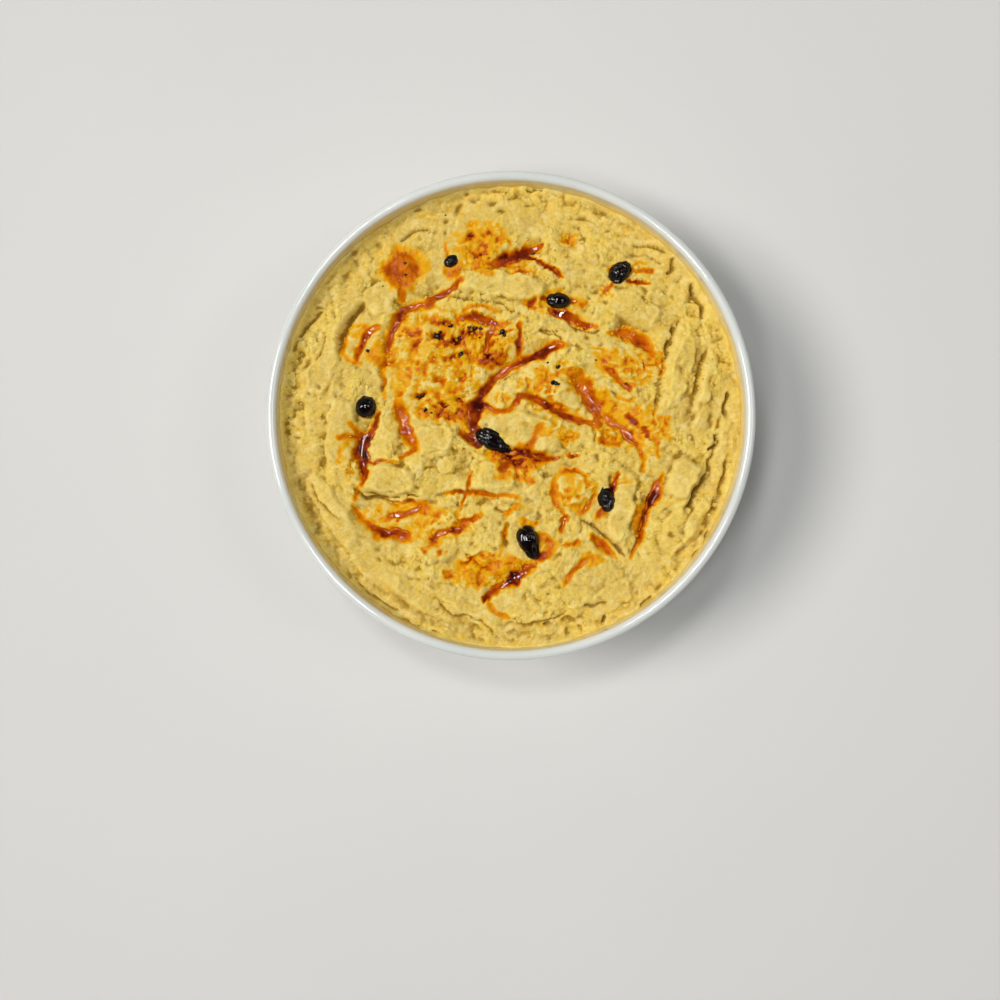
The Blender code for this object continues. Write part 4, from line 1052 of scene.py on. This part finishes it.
def berryMaterial():  # nearly black and wet
    r = Recipe("oily berry skin")
    skin = r.mix(r.span(r.noise(0.0014, 4), 0.35, 0.65), colour("020101"), colour(berryLook["sheen"]))
    gloss = r.span(r.noise(0.0012, 3), 0.3, 0.7, 0.03, 0.09)
    normal = r.bump(r.noise(0.0022, 2, 0.4), 0.0003, 0.12)
    return r.finish(Base_Color=skin, Roughness=gloss, Normal=normal, IOR=1.45, Specular_IOR_Level=0.5)


def sphereGrid(around, down):  # unit sphere places for angles round the axis and down from the pole
    turn = np.linspace(0, 2 * math.pi, around, endpoint=False)
    fall = np.linspace(0, math.pi, down + 1)[1:-1]
    f, t = np.meshgrid(fall, turn, indexing="ij")
    places = np.stack([np.sin(f) * np.cos(t), np.sin(f) * np.sin(t), np.cos(f)], 2).reshape(-1, 3)
    places = np.vstack([places, [[0, 0, 1], [0, 0, -1]]])
    rows = len(fall)
    i, j = np.meshgrid(np.arange(rows - 1), np.arange(around), indexing="ij")
    a, b = i * around + j, i * around + (j + 1) % around
    quads = np.stack([a, a + around, b + around, b], 2).reshape(-1, 4)
    k = np.arange(around)
    north, south, lowest = len(places) - 2, len(places) - 1, (rows - 1) * around
    fans = np.vstack([
        np.stack([np.full(around, north), k, (k + 1) % around], 1),
        np.stack([np.full(around, south), lowest + (k + 1) % around, lowest + k], 1),
    ])
    return places, quads, fans


def makeBerries(material):  # unit spheres with folded skin, stretched, turned and set in place
    unit, quads, fans = sphereGrid(berryLook["around"], berryLook["down"])
    for name, (turn, narrow, depth, size, seed, length, width, height) in berryShapes.items():
        low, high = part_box(name)
        x, y, z = unit.T
        warp = 0.35 * solidNoise(x, y, z, 0.9, seed + 5)
        ridge = 1 - np.abs(solidNoise(x + warp, y * 1.3 + warp, z * 1.3, 1.9 * size, seed)) * 2.4
        second = 1 - np.abs(solidNoise(x * 1.2, y * 1.4 + warp, z * 1.4, size, seed + 9)) * 2.2
        swell = 1 - depth * np.clip(ridge, 0, 1) ** 2 - 0.22 * depth * np.clip(second, 0, 1) ** 2
        swell += 0.06 * solidNoise(x, y, z, 1.1, seed + 3) + 0.028 * solidNoise(x, y, z, 0.4, seed + 21)
        taper = 1 - narrow * x
        px, py, pz = x * swell * length / 2, y * swell * taper * width / 2, z * swell * taper * height / 2
        angle = math.radians(turn)
        cx, cy, cz = (low.x + high.x) / 2 / mm, (low.y + high.y) / 2 / mm, (low.z + high.z) / 2 / mm
        points = np.stack([
            cx + px * math.cos(angle) - py * math.sin(angle),
            cy + px * math.sin(angle) + py * math.cos(angle),
            cz + pz,
        ], 1)
        piece = newPiece("fine_" + name, points, [quads, fans], material)
        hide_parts(name)


# seeds and skin bits: x, y, length, width, turn in degrees
seedPlaces = [
    (-26, 28.5, 3.0, 2.4, 20), (-25, 29.8, 1.6, 1.2, 80), (-21, 32, 2.2, 1.6, 60),
    (-18, 27.5, 2.2, 1.8, 10), (-17.5, 22, 2.6, 2.0, 0), (-12.5, 31.3, 2.6, 1.8, 10),
    (-14.5, 31.6, 1.6, 1.2, 40), (-10.6, 31.2, 1.8, 1.3, -20), (-9.5, 33, 1.1, 0.9, 0),
    (-3, 30, 2.6, 2.2, 30), (-2.2, 28.6, 1.4, 1.2, 0), (-32, 7, 3.0, 1.6, 25), (-30.5, 8, 1.4, 1.0, 0),
    (-30, 2.5, 2.0, 1.4, 10), (-18.3, 6.7, 1.0, 0.8, 0), (-28, 1.5, 1.1, 0.8, 0), (-11, 28, 0.8, 0.7, 0),
    (8, 58, 1.6, 1.2, 0), (16.5, 17.5, 2.0, 1.7, 0), (13, 19, 0.9, 0.8, 0), (15, 12, 2.6, 2.0, 10),
    (16.6, 11.4, 1.4, 1.0, 0), (-50.5, 23.3, 1.6, 1.3, 0), (-37, 54, 1.3, 1.0, 0), (-37, 50, 1.1, 0.8, 30),
    (-45, 46, 0.8, 0.6, 0), (-2, 16, 0.8, 0.6, 0), (32.3, -25.2, 1.3, 0.7, 60), (31.9, -26.2, 0.9, 0.6, 40),
    (-8, 52, 0.9, 0.7, 0), (-23, 71, 0.8, 0.6, 0), (30, 20, 0.8, 0.6, 0),
]
crumbLook = {
    "tries": 14000,
    "count": 1500,
    "wallGap": 1.2,  # mm
    "berryGap": 2.0,
    "smallest": 0.2,  # radius in mm
    "largest": 0.7,
    "rareness": 2.6,
    "around": 8,
    "down": 5,
    "uneven": 0.55,
}


def blobs(places, sizes, turns, around, down, rough, seed):  # many small uneven spheres in one mesh
    unit, quads, fans = sphereGrid(around, down)
    count, each = len(places), len(unit)
    shift = np.arange(count)[:, None] * 31.7
    x, y, z = (np.broadcast_to(axis, (count, each)) for axis in unit.T)
    swell = 1 + rough * solidNoise(x + shift, y + 2 * shift, z, 0.8, seed)
    swell = swell + 0.5 * rough * solidNoise(x + shift, y, z - shift, 0.4, seed + 1)
    px, py, pz = x * swell * sizes[:, :1], y * swell * sizes[:, 1:2], z * swell * sizes[:, 2:]
    cosTurn, sinTurn = np.cos(turns)[:, None], np.sin(turns)[:, None]
    points = np.stack([
        places[:, :1] + px * cosTurn - py * sinTurn,
        places[:, 1:2] + px * sinTurn + py * cosTurn,
        places[:, 2:] + pz,
    ], 2)
    return points.reshape(-1, 3), repeated(quads, fans, count, each), each


def repeated(quads, fans, count, each):  # one piece's faces again for each of many alike
    step = (np.arange(count) * each)[:, None, None]
    return [(quads + step).reshape(-1, 4), (fans + step).reshape(-1, 3)]


def scattered(random, tries, reach):  # places drawn evenly over a disc, with the paste's top at each
    radius = reach * np.sqrt(random.random(tries))
    angle = 2 * math.pi * random.random(tries)
    x, y = radius * np.cos(angle), radius * np.sin(angle)
    return radius, angle, x, y, pasteSurface(x, y)


def clearOfBerries(chance, x, y, gap):  # no chance within the gap from a berry's box
    for name in berryShapes:
        low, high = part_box(name)
        away = np.hypot(x - (low.x + high.x) / 2 / mm, y - (low.y + high.y) / 2 / mm)
        chance = np.where(away < (high.x - low.x) / 2 / mm + gap, 0, chance)
    return chance


def drawnSizes(random, look, count):  # mostly small and seldom large: an even draw raised to a power
    return look["smallest"] + (look["largest"] - look["smallest"]) * random.random(count) ** look["rareness"]


def makeSeeds(material):  # a large seed is a core with two bits beside it
    table = np.array(seedPlaces)
    random = np.random.default_rng(17)
    big = table[table[:, 2] > 1.5]
    parts = [table[table[:, 2] <= 1.5], big * [1, 1, 0.78, 0.82, 1]]
    for _ in range(2):
        around = 2 * math.pi * random.random(len(big))
        part = big * [1, 1, 0.45, 0.5, 1]
        part[:, 0] += 0.38 * big[:, 2] * np.cos(around)
        part[:, 1] += 0.38 * big[:, 3] * np.sin(around)
        part[:, 4] = 360 * random.random(len(big))
        parts.append(part)
    table = np.vstack(parts)
    x, y = table[:, 0], table[:, 1]
    top = pasteSurface(x, y)["height"]
    places = np.stack([x, y, top + 0.05 * table[:, 3]], 1)
    sizes = np.stack([table[:, 2], table[:, 3], 0.8 * table[:, 3]], 1) / 2
    points, faces, each = blobs(places, sizes, np.radians(table[:, 4]), 20, 12, 0.16, 131)
    newPiece("black_seeds", points, faces, material)


def makeCrumbs(material):  # loose bits of paste, thickest where the top is torn and along its folds
    random = np.random.default_rng(7)
    tries, reach = crumbLook["tries"], wallRadius(paste["level"]) - crumbLook["wallGap"]
    radius, angle, x, y, top = scattered(random, tries, reach)
    cluster = 0.5 + 0.5 * layeredNoise(x, y, 5, 141, 2)
    chance = top["rough"] * cluster * np.where(top["strength"] > 0.6, 0.0, 1.0)
    chance = clearOfBerries(chance * (0.35 + np.clip(top["curd"], -0.35, 0.6)), x, y, crumbLook["berryGap"])
    chosen = np.flatnonzero(random.random(tries) < chance * 1.1)[: crumbLook["count"]]
    x, y, height = x[chosen], y[chosen], top["height"][chosen]
    size = drawnSizes(random, crumbLook, len(chosen))
    sizes = size[:, None] * (0.75 + 0.5 * random.random((len(chosen), 3))) * [1, 1, 0.7]
    places = np.stack([x, y, height - 0.15 * size], 1)
    turns = 2 * math.pi * random.random(len(chosen))
    points, faces, each = blobs(
        places, sizes, turns, crumbLook["around"], crumbLook["down"], crumbLook["uneven"], 151
    )
    stain = stainField(x, y, np.zeros_like(x) - 0.2, top["strength"][chosen])
    # random dips, mostly below zero: painted highlight on most crumbs, faint painted shade on a few
    dips = random.random(len(chosen)) * 0.5 - 0.4
    values = {"stain": stain * 0.8, "dips": dips, "rough": np.ones(len(chosen))}
    values = {key: np.repeat(value, each) for key, value in values.items()}
    newPiece("loose_crumbs", points, faces, material, values)


beadLook = {
    "tries": 16000,
    "count": 420,
    "reach": 70,  # mm from the bowl's axis
    "smallest": 0.18,  # radius in mm
    "largest": 0.62,
    "rareness": 2.2,
    "around": 12,
    "down": 8,
    "uneven": 0.1,
}


def makeBeads(material):  # beads of oil, flattened balls that stand where the paste is stained
    random = np.random.default_rng(41)
    tries = beadLook["tries"]
    radius, angle, x, y, top = scattered(random, tries, beadLook["reach"])
    stain = stainField(x, y, np.zeros_like(x), top["strength"])
    cluster = ease(0.5 + 1.2 * layeredNoise(x, y, 5, 181, 2))
    chance = ease((stain - 0.3) / 0.3) * cluster * np.where(top["strength"] > 0.7, 0.15, 1.0)
    chosen = np.flatnonzero(random.random(tries) < chance * 0.6)[: beadLook["count"]]
    size = drawnSizes(random, beadLook, len(chosen))
    sizes = size[:, None] * (0.8 + 0.5 * random.random((len(chosen), 3))) * [1, 1, 0.6]
    places = np.stack([x[chosen], y[chosen], top["height"][chosen] + 0.1 * size], 1)
    turns = 2 * math.pi * random.random(len(chosen))
    points, faces, each = blobs(
        places, sizes, turns, beadLook["around"], beadLook["down"], beadLook["uneven"], 183
    )
    strength = np.clip(stain[chosen] + 0.25 * random.random(len(chosen)) - 0.05, 0.3, 1.0)
    newPiece("oil_beads", points, faces, material, {"strength": np.repeat(strength, each)})


bitLook = {
    "tries": 9000,
    "count": 320,
    "wallGap": 2.0,  # mm
    "berryGap": 2.5,
    "smallest": 0.9,  # mm across
    "largest": 3.2,
    "rise": 0.28,  # mm, for a bit 1 mm across
    "around": 22,
    # how far out each ring of points lies, and how high, as shares
    "profile": [(0.4, 1.0), (0.72, 0.95), (0.92, 0.72), (1.0, 0.3), (0.95, -0.3), (0.7, -1.2)],
}


def makeBits(material):  # low domes with a ragged, overhanging edge, laid on the paste's slope
    random = np.random.default_rng(23)
    tries, reach = bitLook["tries"], wallRadius(paste["level"]) - bitLook["wallGap"]
    radius, angle, x, y, top = scattered(random, tries, reach)
    chance = top["rough"] * (0.35 + 0.65 * ease(0.5 + layeredNoise(x, y, 7, 161, 2)))
    chance = clearOfBerries(chance * np.where(top["strength"] > 0.45, 0.0, 1.0), x, y, bitLook["berryGap"])
    chosen = np.flatnonzero(random.random(tries) < chance * 0.6)[: bitLook["count"]]
    count, around = len(chosen), bitLook["around"]
    size = bitLook["smallest"] * (bitLook["largest"] / bitLook["smallest"]) ** (random.random(count) ** 1.6)
    outer = ease((radius[chosen] - 35) / 20)
    turn = angle[chosen] + math.pi / 2 * outer + (1 - 0.75 * outer) * math.pi * (random.random(count) - 0.5)
    longer = 1 + random.random(count)
    rise = bitLook["rise"] * size**0.6 * (0.6 + 0.8 * random.random(count))
    theta = 2 * math.pi * np.arange(around)[None, :, None] / around
    spread, level = np.array(bitLook["profile"]).T
    shift = np.arange(count)[:, None, None] * 17.3
    edge = 1 + 0.5 * softNoise(np.cos(theta) * 1.3 + shift, np.sin(theta) * 1.3 + 2 * shift, 1.0, 171)
    edge = edge + 0.3 * softNoise(np.cos(theta) * 3.2 + shift, np.sin(theta) * 3.2 - shift, 1.0, 172)
    reach = spread[None, None, :] * edge * (size / 2)[:, None, None]
    stretch = np.sqrt(longer)[:, None, None]
    alongX, acrossY = reach * np.cos(theta) * stretch, reach * np.sin(theta) / stretch
    cosTurn, sinTurn = np.cos(turn)[:, None, None], np.sin(turn)[:, None, None]
    px = x[chosen][:, None, None] + alongX * cosTurn - acrossY * sinTurn
    py = y[chosen][:, None, None] + alongX * sinTurn + acrossY * cosTurn
    centre = np.stack([x[chosen], y[chosen]], 1)
    allX = np.concatenate([centre[:, :1], px.reshape(count, -1)], 1)
    allY = np.concatenate([centre[:, 1:], py.reshape(count, -1)], 1)
    inner = np.minimum(1, (wallRadius(paste["level"]) - 0.4) / np.maximum(np.hypot(allX, allY), 1e-6))
    allX, allY = allX * inner, allY * inner
    under = pasteSurface(allX.ravel(), allY.ravel())
    ground = under["height"].reshape(allX.shape)
    base = 0.35 * ground + 0.65 * np.mean(ground, 1, keepdims=True)
    downhill = 2 * math.pi * random.random(count)[:, None, None]
    lean = (spread[None, None, :] * np.cos(theta - downhill)).reshape(count, -1)
    lean = np.concatenate([np.zeros((count, 1)), lean], 1)
    lift = (np.concatenate([[1.0], np.tile(level, around)])[None, :] + 0.75 * lean - 0.5) * rise[:, None]
    pebbled = 0.09 * softNoise(allX, allY, 0.9, 173) + 0.12 * softNoise(allX, allY, 1.9, 174)
    allZ = base + lift + pebbled
    each, rings = allX.shape[1], len(spread)
    index = 1 + np.arange(around * rings).reshape(around, rings)
    following = np.roll(index, -1, 0)
    quads = np.stack([index[:, :-1], index[:, 1:], following[:, 1:], following[:, :-1]], 2).reshape(-1, 4)
    fans = np.stack([np.zeros(around, int), index[:, 0], following[:, 0]], 1)
    points = np.stack([allX, allY, allZ], 2).reshape(-1, 3)
    stain = stainField(allX.ravel(), allY.ravel(), np.full(allX.size, -0.25), under["strength"])
    # painted highlight on each bit's raised top and painted shade under its overhanging edge, through the
    # dips
    dips = np.clip(-0.3 - lift / rise[:, None], -0.4, 0.8).ravel()
    rough = np.repeat(random.random(count), each)
    values = {"stain": stain, "dips": dips, "rough": rough}
    newPiece("torn_bits", points, repeated(quads, fans, count, each), material, values)


skin = berryMaterial()
makeBerries(skin)
makeSeeds(skin)
makeCrumbs(hummus.data.materials[0])
makeBeads(oilFilm.data.materials[0])
makeBits(hummus.data.materials[0])


studio = {
    "floor": "dfddd9",
    "keyPower": 825.0,
    "keySize": 4.3,
    "keyTurn": 174.0,  # degrees round from +X
    "keyRise": 55.0,  # degrees above the table
    "keyDistance": 12.0,
    "fillPower": 6.0,
    "fillTurn": 10.0,
    "fillRise": 58.0,
    "fillDistance": 2.5,
    "fillSize": 0.8,
    "skyLow": 0.42,  # brightness near the horizon
    "skyHigh": 0.04,  # brightness overhead
    "glintPower": 1.5,  # two small lamps nearly overhead, which only show in what is wet
    "glintSize": 0.12,
    "glintTurns": (125, 215),
    "glintRise": 76,
    "glintDistance": 0.9,
    "floorHalf": 20,  # m
    "lens": 50.0,
    "above": 0.481,  # camera height over the rim
    "aside": (-0.0038, -0.0293),
}


def floorMaterial():  # pale and dull, faintly mottled
    r = Recipe("pale table")
    shade = r.mix(r.noise(0.2, 3), colour("d9d7d3"), colour(studio["floor"]))
    return r.finish(Base_Color=shade, Roughness=0.7, Normal=r.bump(r.noise(0.004, 3), 0.0003, 0.1))


floorMesh = bpy.data.meshes.new("table_top")
far = studio["floorHalf"]
floorMesh.from_pydata([(-far, -far, 0), (far, -far, 0), (far, far, 0), (-far, far, 0)], [], [(0, 1, 2, 3)])
floorMesh.materials.append(floorMaterial())
floor = bpy.data.objects.new("table_top", floorMesh)
bpy.context.scene.collection.objects.link(floor)


def studioWorld():  # bright walls and a dim ceiling
    world = bpy.data.worlds.new("studio")
    world.use_nodes = True
    nodes, links = world.node_tree.nodes, world.node_tree.links
    place = nodes.new("ShaderNodeTexCoord").outputs["Generated"]
    split = nodes.new("ShaderNodeSeparateXYZ")
    links.new(place, split.inputs[0])
    span = nodes.new("ShaderNodeMapRange")
    span.interpolation_type = "SMOOTHSTEP"
    for socket, number in zip(span.inputs[1:5], (0.0, 0.85, studio["skyLow"], studio["skyHigh"])):
        socket.default_value = number
    links.new(split.outputs["Z"], span.inputs[0])
    links.new(span.outputs[0], nodes["Background"].inputs["Strength"])
    nodes["Background"].inputs["Color"].default_value = (0.98, 0.99, 1.0, 1)
    return world


bpy.context.scene.world = studioWorld()


def softLamp(name, turn, rise, distance, size, power, tint, target=(0, 0, 0.05)):
    lamp = bpy.data.lights.new(name, "AREA")
    lamp.shape, lamp.size, lamp.energy, lamp.color = "DISK", size, power, tint
    holder = bpy.data.objects.new(name, lamp)
    turn, rise = math.radians(turn), math.radians(rise)
    way = np.array([math.cos(rise) * math.cos(turn), math.cos(rise) * math.sin(turn), math.sin(rise)])
    holder.location = np.array(target) + distance * way
    holder.rotation_euler = (math.pi / 2 - rise, 0, turn + math.pi / 2)
    bpy.context.scene.collection.objects.link(holder)
    return holder


softLamp(
    "key", studio["keyTurn"], studio["keyRise"], studio["keyDistance"],
    studio["keySize"], studio["keyPower"], (1, 0.985, 0.96),
)
softLamp(
    "fill", studio["fillTurn"], studio["fillRise"], studio["fillDistance"],
    studio["fillSize"], studio["fillPower"], (0.97, 0.985, 1),
)
for turn in studio["glintTurns"]:
    softLamp(
        "glint", turn, studio["glintRise"], studio["glintDistance"],
        studio["glintSize"], studio["glintPower"], (0.95, 0.98, 1),
    )

camera = bpy.data.objects.new("camera", bpy.data.cameras.new("camera"))
camera.data.lens = studio["lens"]
camera.data.sensor_width = 36
camera.location = (studio["aside"][0], studio["aside"][1], bowlHigh.z + studio["above"])
camera.rotation_euler = (0, 0, 0)
bpy.context.scene.collection.objects.link(camera)
bpy.context.scene.camera = camera
bpy.context.scene.view_settings.view_transform = "Standard"
